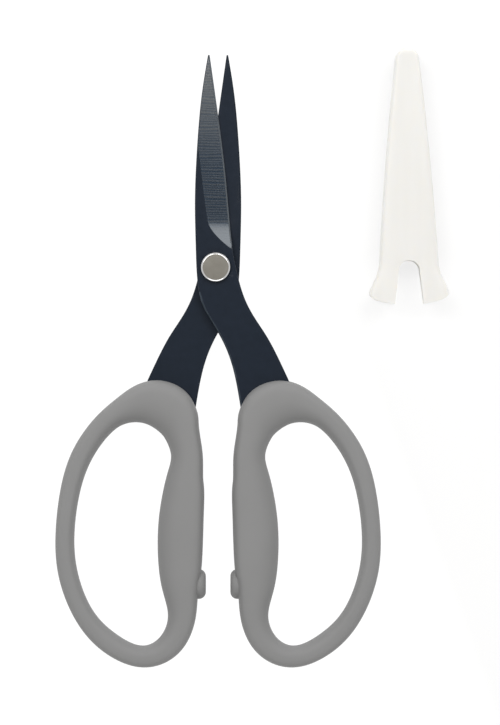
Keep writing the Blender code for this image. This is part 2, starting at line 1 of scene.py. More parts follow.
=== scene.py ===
"""Dresses the thread snips and their slip-on blade cover in the frame of their CAD model.

Sizes are in millimetres, and a mesh is brought to metres when it is put in place. Each half of the
snips is drawn in its own half frame: x runs from the snips' centre line towards that half's handle,
y towards the tips, and z from the plane between the blades out to that half's own side.
"""

import logging
import math
from dataclasses import dataclass, field
from enum import Enum

import bmesh
import bpy
import numpy as np
from bpy.types import Material, Mesh, Node, NodeSocket, NodeTree, Object
from mathutils import Matrix, Vector


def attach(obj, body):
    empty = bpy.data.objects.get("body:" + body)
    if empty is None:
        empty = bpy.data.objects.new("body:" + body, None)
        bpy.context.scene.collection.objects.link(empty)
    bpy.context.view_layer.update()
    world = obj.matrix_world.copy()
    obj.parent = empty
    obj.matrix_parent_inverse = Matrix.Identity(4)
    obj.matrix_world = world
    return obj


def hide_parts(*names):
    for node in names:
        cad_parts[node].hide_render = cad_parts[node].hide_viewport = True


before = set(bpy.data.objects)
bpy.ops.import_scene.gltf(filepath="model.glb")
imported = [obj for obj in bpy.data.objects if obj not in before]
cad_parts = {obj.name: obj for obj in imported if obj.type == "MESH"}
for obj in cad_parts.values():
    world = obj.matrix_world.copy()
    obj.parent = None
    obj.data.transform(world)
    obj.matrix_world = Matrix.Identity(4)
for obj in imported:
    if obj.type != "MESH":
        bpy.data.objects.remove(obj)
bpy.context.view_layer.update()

LOG = logging.getLogger("thread_snips")
MM = 0.001
WAVE_RATE = 20.0  # radians that the wave texture runs through in each unit of length

# Levels that the sub-assemblies share, from the plane between the blades
BLADE_GAP = 0.3
STEEL_THICKNESS = 2.0
SEAT_GAP = 0.3
HEAD_THICKNESS = 0.9
PALM_THICKNESS = 10.4
RIDE_Z = BLADE_GAP / 2  # inner face of a blade
FACE_Z = RIDE_Z + STEEL_THICKNESS  # outer face of a blade
PIVOT_FACE_Z = FACE_Z + SEAT_GAP + HEAD_THICKNESS
TABLE_Z = -PALM_THICKNESS / 2
CENTRE_LINE_X = 0.6  # the snips' centre line, from the pivot axis

# How the meshes are made
CUTTER_REACH = 20.0  # how far a cutter runs past what it cuts
SNUG = 0.02  # a moulded seat follows what sits in it this closely
WELD_DISTANCE = 0.005  # points nearer than this are one point
SHARP_ANGLE = math.radians(40)  # a turned piece is smooth where it turns less than this
FLAT_WEIGHT = 90  # how much large faces set the shading of their corners, of 100
HALFWAY = 0.5

# The mix node's sockets for colours, by number because their names repeat
MIX_SHARE, MIX_FROM, MIX_TO, MIX_RESULT = 0, 6, 7, 2

Point = tuple[float, float]
Inputs = dict[str | int, object]


class Half(Enum):
    """The two halves of the snips, and which side of the centre line each one's handle is on."""

    FRONT = 1
    REAR = -1

    @property
    def word(self) -> str:
        """The half's own name."""
        return self.name.lower()

    @property
    def hand(self) -> str:
        """The side that the half's handle is on, seen from the front."""
        return "right" if self is Half.FRONT else "left"

    @property
    def body(self) -> str:
        """The CAD body that the half moves with."""
        return f"{self.word}_half"

    @property
    def to_world(self) -> Matrix:
        """From the half frame in millimetres to the CAD frame in metres."""
        turn = Matrix.Rotation(0.0 if self is Half.FRONT else math.pi, 4, "Y")
        return Matrix.Scale(MM, 4) @ Matrix.Translation((CENTRE_LINE_X, 0, -PIVOT_FACE_Z)) @ turn


class Surface(Enum):
    """The finishes that one piece of steel carries, by material slot."""

    COATED = 0
    GROUND = 1
    HONED = 2
    # a painted highlight along the shank's rounded edge
    PAINTED_EDGE_HIGHLIGHT = 3


def linear(hex_colour: str) -> tuple[float, float, float, float]:
    """Turns an sRGB hex colour to linear light.

    Args:
        hex_colour: six hex digits after a hash.

    Returns:
        Red, green, blue and an opaque alpha.
    """
    channels = [int(hex_colour[i : i + 2], 16) / 255 for i in (1, 3, 5)]
    red, green, blue = (c / 12.92 if c <= 0.04045 else ((c + 0.055) / 1.055) ** 2.4 for c in channels)
    return red, green, blue, 1.0


def per_metre(size_mm: float) -> float:
    """How often a detail of the given size in millimetres fits in a metre."""
    return 1 / (size_mm * MM)


def wave_scale(period_mm: float) -> float:
    """The wave texture's scale that puts its bands the given distance in millimetres apart."""
    return 2 * math.pi / WAVE_RATE * per_metre(period_mm)


def feed(node: Node, inputs: Inputs) -> None:
    """Sets or links a node's input sockets.

    Args:
        node: the node.
        inputs: by a socket's name, or its number where names repeat, the value that it is set to or
            the output socket that it is linked from.
    """
    for key, value in inputs.items():
        if isinstance(value, NodeSocket):
            node.id_data.links.new(value, node.inputs[key])
        else:
            node.inputs[key].default_value = value


def add_node(tree: NodeTree, kind: str, inputs: Inputs, **settings: object) -> Node:
    """Adds a node with its settings and links.

    Args:
        tree: the node tree.
        kind: Blender's name for the node.
        inputs: what feeds its input sockets.
        settings: the node's own settings.

    Returns:
        The new node.
    """
    node = tree.nodes.new(kind)
    for name, value in settings.items():
        setattr(node, name, value)
    feed(node, inputs)
    return node


@dataclass(frozen=True, kw_only=True)
class Finish:
    """A finish: the colours and the surface that one way of making it leaves."""

    name: str
    dark: str
    light: str
    metallic: float
    roughness: Point  # at the dark end and at the light end
    ior: float | None = None  # the shader's own, as metals keep it
    relief_mm: float = 0.0
    relief_strength: float = 0.0

    def make(self) -> Material:
        """Makes the finish's material.

        Returns:
            A material whose shader is fed by the finish's own nodes.
        """
        material = bpy.data.materials.new(self.name)
        material.use_nodes = True
        shader = material.node_tree.nodes["Principled BSDF"]
        feed(shader, {"Metallic": self.metallic})
        if self.ior is not None:
            feed(shader, {"IOR": self.ior})
        self.surface(shader, add_node(material.node_tree, "ShaderNodeTexCoord", {}).outputs["Object"])
        return material

    def surface(self, shader: Node, place: NodeSocket) -> None:
        """Feeds the shader with the surface's colour, gloss and relief at a place on the piece."""
        raise NotImplementedError

    def lay(self, shader: Node, tone: NodeSocket, height: NodeSocket | None = None) -> NodeSocket:
        """Runs the colour and the roughness between their two ends, and raises the relief.

        Args:
            shader: the shader to feed.
            tone: the socket that says how far, from 0 to 1.
            height: the socket that gives the relief, from 0 to 1, if the finish has one.

        Returns:
            The socket that gives the colour.
        """
        tree = shader.id_data
        ends = {MIX_SHARE: tone, MIX_FROM: linear(self.dark), MIX_TO: linear(self.light)}
        colour = add_node(tree, "ShaderNodeMix", ends, data_type="RGBA").outputs[MIX_RESULT]
        low, high = self.roughness
        gloss = add_node(tree, "ShaderNodeMapRange", {"Value": tone, "To Min": low, "To Max": high})
        feed(shader, {"Base Color": colour, "Roughness": gloss.outputs[0]})
        if height is not None:
            sizes = {"Distance": self.relief_mm * MM, "Strength": self.relief_strength}
            relief = add_node(tree, "ShaderNodeBump", {"Height": height, **sizes})
            feed(shader, {"Normal": relief.outputs[0]})
        return colour


@dataclass(frozen=True)
class Grain:
    """A cloudy pattern: its size across and along the piece, and how finely it is broken up."""

    across_mm: float
    along_mm: float
    detail: float


@dataclass(frozen=True, kw_only=True)
class GrainedFinish(Finish):
    """A finish whose tone and relief each follow a cloudy pattern."""

    tone: Grain
    relief: Grain

    def surface(self, shader: Node, place: NodeSocket) -> None:
        """Adds the two patterns.

        Args:
            shader: the shader to feed.
            place: the socket that gives a point's place on the piece, in metres.
        """
        tree = shader.id_data
        clouds = []
        for grain in (self.tone, self.relief):
            across, along = per_metre(grain.across_mm), per_metre(grain.along_mm)
            scale = (across, along, across)
            stretch = add_node(tree, "ShaderNodeMapping", {"Vector": place, "Scale": scale}).outputs[0]
            pattern = {"Vector": stretch, "Scale": 1.0, "Detail": grain.detail}
            clouds.append(add_node(tree, "ShaderNodeTexNoise", pattern).outputs["Fac"])
        self.lay(shader, *clouds)


@dataclass(frozen=True, kw_only=True)
class CoatedSteel(GrainedFinish):
    """Stainless steel, blanked and ground flat, with a baked fluorocarbon coat.

    The coat is thin, dark and blue-grey. It dulls the steel to a satin and leaves a faint ripple.
    """

    name: str = "fluorocarbon_coated_steel"
    dark: str = "#061320"
    light: str = "#0a1828"
    metallic: float = 0.0
    roughness: Point = (0.36, 0.46)
    ior: float = 1.37
    tone: Grain = Grain(1.6, 1.6, detail=4.0)
    relief: Grain = tone
    relief_mm: float = 0.004
    relief_strength: float = 0.6


@dataclass(frozen=True, kw_only=True)
class GroundSteel(Finish):
    """The same coat over a bevel that a wheel ground across the blade.

    The wheel's lines show through the coat. Its colour runs lighter and greyer towards the point, which
    is a painted reflection, and it is rubbed grey where the wheel ran out towards the pivot. The real
    lines are about 0.1 mm apart.
    They are drawn coarser, so that they show.
    """

    name: str = "cross_ground_coated_steel"
    dark: str = "#2d3f52"
    light: str = "#6b6d6e"
    metallic: float = 1.0
    roughness: Point = (0.2, 0.26)
    relief_mm: float = 0.004
    relief_strength: float = 0.4
    rubbed: str = "#45484b"
    line_mm: float = 0.68
    line_run_mm: float = 4.5
    line_wander: float = 7.0  # how unevenly the lines are spaced
    line_detail: float = 3.0
    line_tone: float = 0.42  # how much of the run from dark to light one line takes
    painted_reflection_mm: Point = (26.5, 46.5)  # painted reflection: the colour lightens between these places along the blade
    painted_reflection_share: Point = (0.35, 0.81)
    rub_mm: Point = (9.8, 12.2)  # from all rubbed here to not at all here

    def surface(self, shader: Node, place: NodeSocket) -> None:
        """Adds grinding lines over a colour that lightens towards the point, a painted reflection.

        Args:
            shader: the shader to feed.
            place: the socket that gives a point's place on the piece, in metres.
        """
        tree = shader.id_data
        lean = self.line_mm / self.line_run_mm
        stretch = add_node(tree, "ShaderNodeMapping", {"Vector": place, "Scale": (lean, 1.0, lean)})
        wheel = {
            "Vector": stretch.outputs[0],
            "Scale": wave_scale(self.line_mm),
            "Distortion": self.line_wander,
            "Detail": self.line_detail,
        }
        lines = add_node(tree, "ShaderNodeTexWave", wheel, bands_direction="Y").outputs["Fac"]
        along = add_node(tree, "ShaderNodeSeparateXYZ", {"Vector": place}).outputs["Y"]
        # painted reflection: the tone lightens towards the point
        painted_reflection_tones = [share - self.line_tone / 2 for share in self.painted_reflection_share]
        spread = []
        for (start, end), (low, high) in ((self.painted_reflection_mm, painted_reflection_tones), (self.rub_mm, (1.0, 0.0))):
            span = {"From Min": start * MM, "From Max": end * MM, "To Min": low, "To Max": high}
            spread.append(add_node(tree, "ShaderNodeMapRange", {"Value": along, **span}).outputs[0])
        painted_reflection, rub = spread
        share = {0: lines, 1: self.line_tone, 2: painted_reflection}
        tone = add_node(tree, "ShaderNodeMath", share, operation="MULTIPLY_ADD").outputs[0]
        coat = self.lay(shader, tone, lines)
        bared = {MIX_SHARE: rub, MIX_FROM: coat, MIX_TO: linear(self.rubbed)}
        colour = add_node(tree, "ShaderNodeMix", bared, data_type="RGBA").outputs[MIX_RESULT]
        feed(shader, {"Base Color": colour})


@dataclass(frozen=True, kw_only=True)
class HonedSteel(GrainedFinish):
    """Bare stainless steel, honed on a stone after coating.

    It is the one bright line on the blade, finely scratched along the edge.
    """

    name: str = "honed_stainless_steel"
    dark: str = "#5d636a"
    light: str = "#7a8087"
    metallic: float = 1.0
    roughness: Point = (0.22, 0.34)
    tone: Grain = Grain(0.12, 3.0, detail=2.0)
    relief: Grain = tone
    relief_mm: float = 0.004
    relief_strength: float = 0.4


@dataclass(frozen=True, kw_only=True)
class PaintedEdgeHighlightSteel(HonedSteel):
    """The coat on the shank's rounded inner edge, lighter and in streaks: a painted highlight where the
    edge would catch the light.
    """

    name: str = "coated_steel_painted_edge_highlight"
    dark: str = "#2c343e"
    light: str = "#59626c"
    roughness: Point = (0.3, 0.42)
    tone: Grain = Grain(0.4, 2.5, detail=2.0)
    relief: Grain = tone


@dataclass(frozen=True, kw_only=True)
class NickelPlate(Finish):
    """Brass turned on a lathe, lapped and nickel-plated.

    A warm silver that mirrors softly, with the lathe's rings just showing on flat faces. The real rings
    are about 0.1 mm apart. They are drawn coarser, so that they show.
    """

    name: str = "turned_nickel_plate"
    dark: str = "#c3beb3"
    light: str = "#d4d0c6"
    metallic: float = 1.0
    roughness: Point = (0.16, 0.24)
    relief_mm: float = 0.008
    relief_strength: float = 0.5
    ring_mm: float = 0.7
    ring_wander: float = 0.4
    ring_detail: float = 1.0
    cloud_mm: float = 1.8
    cloud_detail: float = 3.0

    def surface(self, shader: Node, place: NodeSocket) -> None:
        """Adds lathe rings and a cloudy plate.

        Args:
            shader: the shader to feed.
            place: the socket that gives a point's place on the piece, in metres.
        """
        tree = shader.id_data
        plate = {"Vector": place, "Scale": per_metre(self.cloud_mm), "Detail": self.cloud_detail}
        clouds = add_node(tree, "ShaderNodeTexNoise", plate)
        lathe = {
            "Vector": place,
            "Scale": wave_scale(self.ring_mm),
            "Distortion": self.ring_wander,
            "Detail": self.ring_detail,
        }
        rings = add_node(tree, "ShaderNodeTexWave", lathe, wave_type="RINGS", rings_direction="Z")
        self.lay(shader, clouds.outputs["Fac"], rings.outputs["Fac"])


@dataclass(frozen=True, kw_only=True)
class NickelPaintedRimHighlight(NickelPlate):
    """The same plate over a rim cut with a polished tool: a sharper mirror, and a nearly white colour
    that is a painted highlight.
    """

    name: str = "nickel_plate_painted_rim_highlight"
    dark: str = "#e2e2e3"
    light: str = "#eeeeef"
    roughness: Point = (0.12, 0.17)


@dataclass(frozen=True, kw_only=True)
class SoftMoulding(GrainedFinish):
    """Thermoplastic rubber, injection moulded in a spark-eroded tool.

    An even, dull grey with hardly any shine and slow changes of tone. The tool's pebble is about 0.1 mm
    across and is drawn coarser, so that it shows.
    """

    name: str = "moulded_grey_thermoplastic"
    dark: str = "#7d7d7d"
    light: str = "#828282"
    metallic: float = 0.0
    roughness: Point = (0.6, 0.72)
    ior: float = 1.48
    tone: Grain = Grain(9.0, 9.0, detail=5.0)
    relief: Grain = Grain(0.32, 0.32, detail=2.0)
    relief_mm: float = 0.012
    relief_strength: float = 0.5


@dataclass(frozen=True, kw_only=True)
class BumperRubber(SoftMoulding):
    """Softer rubber pressed into the moulding: a little darker and duller than what holds it."""

    name: str = "moulded_grey_rubber"
    dark: str = "#7c7c7c"
    roughness: Point = (0.68, 0.8)
    relief: Grain = Grain(0.24, 0.24, detail=2.0)


@dataclass(frozen=True, kw_only=True)
class Polythene(GrainedFinish):
    """Natural low-density polythene, injection moulded.

    A milky off-white that light soaks into, with a waxy shine and faint flow lines along it.
    """

    name: str = "moulded_natural_polythene"
    dark: str = "#dfdedb"
    light: str = "#e4e3e0"
    metallic: float = 0.0
    roughness: Point = (0.38, 0.5)
    ior: float = 1.51
    tone: Grain = Grain(2.6, 26.0, detail=3.0)
    relief: Grain = tone
    relief_mm: float = 0.01
    relief_strength: float = 0.4
    soak_mm: float = 0.5
    soak_reach: tuple[float, float, float] = (1.0, 0.95, 0.85)  # red light soaks in furthest
    soak_share: float = 1.0

    def surface(self, shader: Node, place: NodeSocket) -> None:
        """Lets light soak into the wall, under its flow lines.

        Args:
            shader: the shader to feed.
            place: the socket that gives a point's place on the piece, in metres.
        """
        feed(shader, {"Subsurface Weight": self.soak_share, "Subsurface Radius": self.soak_reach})
        feed(shader, {"Subsurface Scale": self.soak_mm * MM})
        super().surface(shader, place)


@dataclass(frozen=True, kw_only=True)
class LightTable(Finish):
    """Opal acrylic for the floor, with a glow painted into it as if it were lit from below.

    Under the snips it is deep and its painted glow bright, so that the glow drowns their shadows. Under
    the cover it is paler and its glow weaker, so that the cover's soft shadow still shows on it, but for
    a painted patch of light in its notch.
    """

    name: str = "backlit_opal_acrylic"
    dark: str = "#595959"  # under the snips
    light: str = "#999999"  # under the cover
    metallic: float = 0.0
    roughness: Point = (0.85, 0.95)
    glow_tint: str = "#ffffff"
    glow: Point = (0.97, 0.62)  # under the snips, and under the cover
    edge_turn: float = math.radians(20)  # the line between the two leans by this
    edge_mm: Point = (20.0, 30.0)  # one turns to the other from here to here
    notch_place: Point = (48.2, -9.0)  # the middle of a painted patch of glow, below the cover's notch
    notch_mm: Point = (6.0, 16.0)  # the painted patch, and where it has faded out
    notch_share: float = 0.55  # how much of the weaker kind is left over the painted patch

    def surface(self, shader: Node, place: NodeSocket) -> None:
        """Adds two kinds of opal, each with its own painted glow, with a soft line between them, and a
        painted patch of glow under the notch.

        Args:
            shader: the shader to feed.
            place: the socket that gives a point's place on the floor, in metres.
        """
        tree = shader.id_data
        way = (math.cos(self.edge_turn), math.sin(self.edge_turn), 0.0)
        away = add_node(tree, "ShaderNodeVectorMath", {0: place, 1: way}, operation="DOT_PRODUCT")
        # the middle of a painted patch of glow under the cover's notch, not a real lamp
        lamp = Vector((*self.notch_place, TABLE_Z - PIVOT_FACE_Z)) * MM
        off = add_node(tree, "ShaderNodeVectorMath", {0: place, 1: lamp}, operation="DISTANCE")
        start, end = self.edge_mm
        edge = {"Value": away.outputs["Value"], "From Min": start * MM, "From Max": end * MM}
        beside = add_node(tree, "ShaderNodeMapRange", edge, interpolation_type="SMOOTHSTEP")
        start, end = self.notch_mm
        patch = {"Value": off.outputs["Value"], "From Min": start * MM, "From Max": end * MM}
        unlit = add_node(tree, "ShaderNodeMapRange", {**patch, "To Min": self.notch_share})
        kinds = {0: beside.outputs[0], 1: unlit.outputs[0]}
        share = add_node(tree, "ShaderNodeMath", kinds, operation="MULTIPLY").outputs[0]
        self.lay(shader, share)
        low, high = self.glow
        glow = add_node(tree, "ShaderNodeMapRange", {"Value": share, "To Min": low, "To Max": high})
        feed(shader, {"Emission Color": linear(self.glow_tint), "Emission Strength": glow.outputs[0]})


def spline(points: list[tuple[float, ...]], steps: int, closed: bool = False) -> np.ndarray:
    """Points of a smooth curve through the given rows, with equal curvature on both sides of each.

    Args:
        points: rows whose first two columns are the place; further columns are carried along.
        steps: points made for each row.
        closed: whether the curve runs back to its first row.

    Returns:
        One row for each point of the curve.
    """
    rows = np.array(points, float)
    count = len(rows)
    after = np.roll(rows, -1, 0)
    gaps = np.linalg.norm((after - rows)[:, :2], axis=1) ** 0.5
    before_gaps = np.roll(gaps, 1)
    system = np.eye(count)
    bends = np.zeros_like(rows)
    for i in range(count) if closed else range(1, count - 1):
        nxt = (i + 1) % count
        system[i] = 0
        system[i, i - 1] = before_gaps[i]
        system[i, i] = 2 * (before_gaps[i] + gaps[i])
        system[i, nxt] = gaps[i]
        bends[i] = 6 * ((rows[nxt] - rows[i]) / gaps[i] - (rows[i] - rows[i - 1]) / before_gaps[i])
    second = np.linalg.solve(system, bends)
    curve = []
    for i in range(count if closed else count - 1):
        nxt = (i + 1) % count
        for share in np.arange(steps) / steps:
            rest = 1 - share
            bow = (rest**3 - rest) * second[i] + (share**3 - share) * second[nxt]
            curve.append(rest * rows[i] + share * rows[nxt] + bow * gaps[i] ** 2 / 6)
    if not closed:
        curve.append(rows[-1])
    return np.array(curve)


def resample(curve: np.ndarray, count: int) -> np.ndarray:
    """Evenly spaced points along an open curve.

    Args:
        curve: the curve's points.
        count: how many points to return.

    Returns:
        The new points, the curve's two ends among them.
    """
    steps = np.linalg.norm(np.diff(curve, axis=0), axis=1)
    along = np.concatenate([[0.0], np.cumsum(steps)])
    wanted = np.linspace(0, along[-1], count)
    return np.stack([np.interp(wanted, along, column) for column in curve.T], 1)


def smoothstep(low: float, high: float, value: float) -> float:
    """Rises softly from 0 at low to 1 at high."""
    share = min(1.0, max(0.0, (value - low) / (high - low)))
    return share * share * (3 - 2 * share)


def superellipse(angle: float, squareness: float) -> Point:
    """Unit point of a squared-off circle.

    Args:
        angle: how far round the point is, in radians.
        squareness: 2 for a circle, and more for a squarer one.

    Returns:
        The point.
    """
    c, s = math.cos(angle), math.sin(angle)
    power = 2 / squareness
    return math.copysign(abs(c) ** power, c), math.copysign(abs(s) ** power, s)


def grow(outline: np.ndarray, distance: float) -> np.ndarray:
    """Moves every side of a counterclockwise outline out.

    Args:
        outline: the outline's corners.
        distance: how far the sides move.

    Returns:
        The moved corners.
    """
    sides = np.roll(outline, -1, 0) - outline
    sides /= np.linalg.norm(sides, axis=1)[:, None]
    normals = np.stack([sides[:, 1], -sides[:, 0]], 1)
    before = np.roll(normals, 1, 0)
    mitre = (normals + before) / (1 + (normals * before).sum(1))[:, None]
    return outline + distance * mitre


def lofted(name: str, rings: np.ndarray, closed: bool) -> Mesh:
    """A skin over rings of points, facing outwards.

    Args:
        name: the mesh's name.
        rings: points by ring and by place on the ring.
        closed: whether the last ring joins the first. An open skin gets a face over each end.

    Returns:
        A mesh whose face number is its ring's number times the points on a ring, plus its place.
    """
    count, sides, _ = rings.shape
    at = np.arange(count * sides).reshape(count, sides)
    near = at if closed else at[:-1]
    far = np.roll(at, -1, 0) if closed else at[1:]
    quads = np.stack([near, np.roll(near, -1, 1), np.roll(far, -1, 1), far], 2).reshape(-1, 4)
    points = rings.reshape(-1, 3)
    a, b, c, d = (points[quads[:, k]] - points.mean(0) for k in range(4))
    volume = (np.cross(a, b) * c).sum() + (np.cross(a, c) * d).sum()
    ends = [] if closed else [at[0, ::-1], at[-1]]
    faces = [face.tolist() for face in (*quads, *ends)]
    if volume < 0:
        faces = [face[::-1] for face in faces]
    mesh = bpy.data.meshes.new(name)
    mesh.from_pydata(points.tolist(), [], faces)
    mesh.shade_smooth()
    return mesh


def weld(mesh: Mesh) -> None:
    """Joins the points of a mesh that lie on each other.

    Args:
        mesh: the mesh, which is changed.
    """
    work = bmesh.new()
    work.from_mesh(mesh)
    bmesh.ops.remove_doubles(work, verts=work.verts, dist=WELD_DISTANCE)
    work.to_mesh(mesh)
    work.free()


def turned(name: str, profile: list[Point], sides: int) -> Mesh:
    """A round piece about Z.

    Args:
        name: the mesh's name.
        profile: (radius, z) points. They run from axis to axis, or go once round a ring's section.
        sides: points round the piece.

    Returns:
        The mesh, which comes to a point where the profile starts and stops on the axis.
    """
    on_axis = profile[0][0] == 0
    radii, heights = np.array(profile).T
    turns = np.arange(sides) * 2 * math.pi / sides
    x, y = (radii[:, None] * wave(turns) for wave in (np.cos, np.sin))
    z = np.repeat(heights[:, None], sides, 1)
    mesh = lofted(name, np.stack([x, y, z], 2), closed=not on_axis)
    weld(mesh)
    return mesh


def prism(name: str, outline: np.ndarray, low: float, high: float) -> Mesh:
    """A flat plate with the given outline, from z low to z high."""
    rings = np.stack([np.column_stack([outline, np.full(len(outline), z)]) for z in (low, high)])
    return lofted(name, rings, closed=False)


def cut(mesh: Mesh, tools: list[Mesh]) -> Mesh:
    """Cuts tools out of a mesh.

    Args:
        mesh: what is cut. It is used up.
        tools: closed meshes in the same frame. They are used up too.

    Returns:
        The cut mesh. It keeps the first mesh's name and materials.
    """
    name = mesh.name
    used = [mesh, *tools]
    body, *cutters = holders = [bpy.data.objects.new(old.name, old) for old in used]
    for holder in holders:
        bpy.context.scene.collection.objects.link(holder)
    for cutter in cutters:
        boolean = body.modifiers.new(cutter.name, "BOOLEAN")
        boolean.operation = "DIFFERENCE"
        boolean.solver = "EXACT"
        boolean.object = cutter
    result = bpy.data.meshes.new_from_object(body.evaluated_get(bpy.context.evaluated_depsgraph_get()))
    for holder in holders:
        bpy.data.objects.remove(holder)
    for old in used:
        bpy.data.meshes.remove(old)
    result.name = name
    return result


def put(mesh: Mesh, matrix: Matrix, finishes: list[Material], body: str, node: str) -> Object:
    """Puts a finished mesh in the scene in place of a CAD node.

    Args:
        mesh: the mesh. Its name becomes the piece's.
        matrix: from the mesh's frame to the CAD frame.
        finishes: its materials, by material slot.
        body: the CAD body that it moves with.
        node: the CAD node that it stands for.

    Returns:
        The new piece.
    """
    mesh.transform(matrix)
    for finish in finishes:
        mesh.materials.append(finish)
    piece = bpy.data.objects.new(mesh.name, mesh)
    bpy.context.scene.collection.objects.link(piece)
    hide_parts(node)
    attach(piece, body)
    LOG.info("%s: %d faces, in place of %s", piece.name, len(mesh.polygons), node)
    return piece


def keep_flats_flat(piece: Object) -> None:
    """Weights a piece's normals by face area, so that rounded corners don't shade its flat faces.

    Args:
        piece: the piece, which gets a modifier.
    """
    weighting = piece.modifiers.new("flat_faces", "WEIGHTED_NORMAL")
    weighting.keep_sharp = True
    weighting.weight = FLAT_WEIGHT


@dataclass
class FingerLoop:
    """The finger hole of a ring handle and the moulding round it, in the half frame."""

    length: float = 55.5
    width: float = 24.0
    side_x: float = 11.75  # centre line to the hole
    top_y: float = -38.6
    band_width: float = 4.7
    foot_width: float = 5.4
    heel_width: float = 7.05
    palm_width: float = 11.3
    neck_width: float = 7.9
    shoulder_width: float = 11.46
    band_thickness: float = 7.4
    palm_thickness: float = PALM_THICKNESS
    crest_share: float = 0.62  # where the palm's section is thickest, from the hole outwards
    steps: int = 12
    heel_station: int = 11
    palm_station: int = 13
    neck_station: int = 16
    hole: np.ndarray = field(init=False)
    normal: np.ndarray = field(init=False)
    widths: np.ndarray = field(init=False)
    thicknesses: np.ndarray = field(init=False)
    crests: np.ndarray = field(init=False)

    def stations(self) -> list[tuple[float, float, float, float, float]]:
        """The hole's outline, clockwise.

        Returns:
            At each station its place across and along the hole, the width of the moulding, how much
            of the palm's extra thickness it has, and how far its crest has moved outwards.
        """
        band, palm = self.band_width, self.palm_width
        return [
            (0.256, 0.007, self.shoulder_width, 0.95, 0.8),
            (0.46, 0.005, 0.611 * self.shoulder_width, 0.65, 0.5),
            (0.612, 0.0445, 1.18 * band, 0.35, 0.0),
            (0.8, 0.151, 1.13 * band, 0.1, -0.6),
            (0.935, 0.301, 1.05 * band, 0.0, -1.0),
            (1.0, 0.514, band, 0.0, -1.0),
            (0.957, 0.687, 1.03 * band, 0.0, -1.0),
            (0.798, 0.849, 1.05 * band, 0.0, -0.6),
            (0.56, 0.95, self.foot_width, 0.0, 0.0),
            (0.29, 1.0, self.foot_width, 0.05, 0.0),
            (0.107, 0.958, 0.88 * self.heel_width, 0.25, 0.2),
            (0.031, 0.864, self.heel_width, 0.6, 0.6),
            (0.096, 0.737, 0.867 * palm, 0.9, 1.0),
            (0.1375, 0.53, palm, 1.0, 1.0),
            (0.106, 0.366, 0.965 * palm, 1.0, 1.0),
            (0.036, 0.227, 0.832 * palm, 1.0, 0.9),
            (0.0, 0.144, self.neck_width, 1.0, 0.8),
            (0.058, 0.075, 1.207 * self.neck_width, 1.0, 0.8),
            (0.103, 0.0496, 0.992 * self.shoulder_width, 1.0, 0.8),
        ]

    def __post_init__(self) -> None:
        """Runs smooth rails through the stations."""
        places = []
        for across, along, width, swell, shift in self.stations():
            x = self.side_x + across * self.width
            y = self.top_y - along * self.length
            thickness = self.band_thickness + swell * (self.palm_thickness - self.band_thickness)
            places.append((x, y, width, thickness, HALFWAY + shift * (self.crest_share - HALFWAY)))
        rows = spline(places, self.steps, closed=True)
        self.hole = rows[:, :2]
        along = np.roll(self.hole, -1, 0) - np.roll(self.hole, 1, 0)
        along /= np.linalg.norm(along, axis=1)[:, None]
        self.normal = np.stack([-along[:, 1], along[:, 0]], 1)
        self.widths, self.thicknesses, self.crests = rows[:, 2:].T

    def index(self, station: float) -> int:
        """Nearest point of the rails to a place counted in stations."""
        return round(station * self.steps) % len(self.hole)

    def at(self, index: int, inset: float) -> np.ndarray:
        """A point of the moulding, that far out from the finger hole."""
        return self.hole[index] + self.normal[index] * inset

    def rim(self, index: int) -> np.ndarray:
        """A point of the handle's outer edge."""
        return self.at(index, self.widths[index])


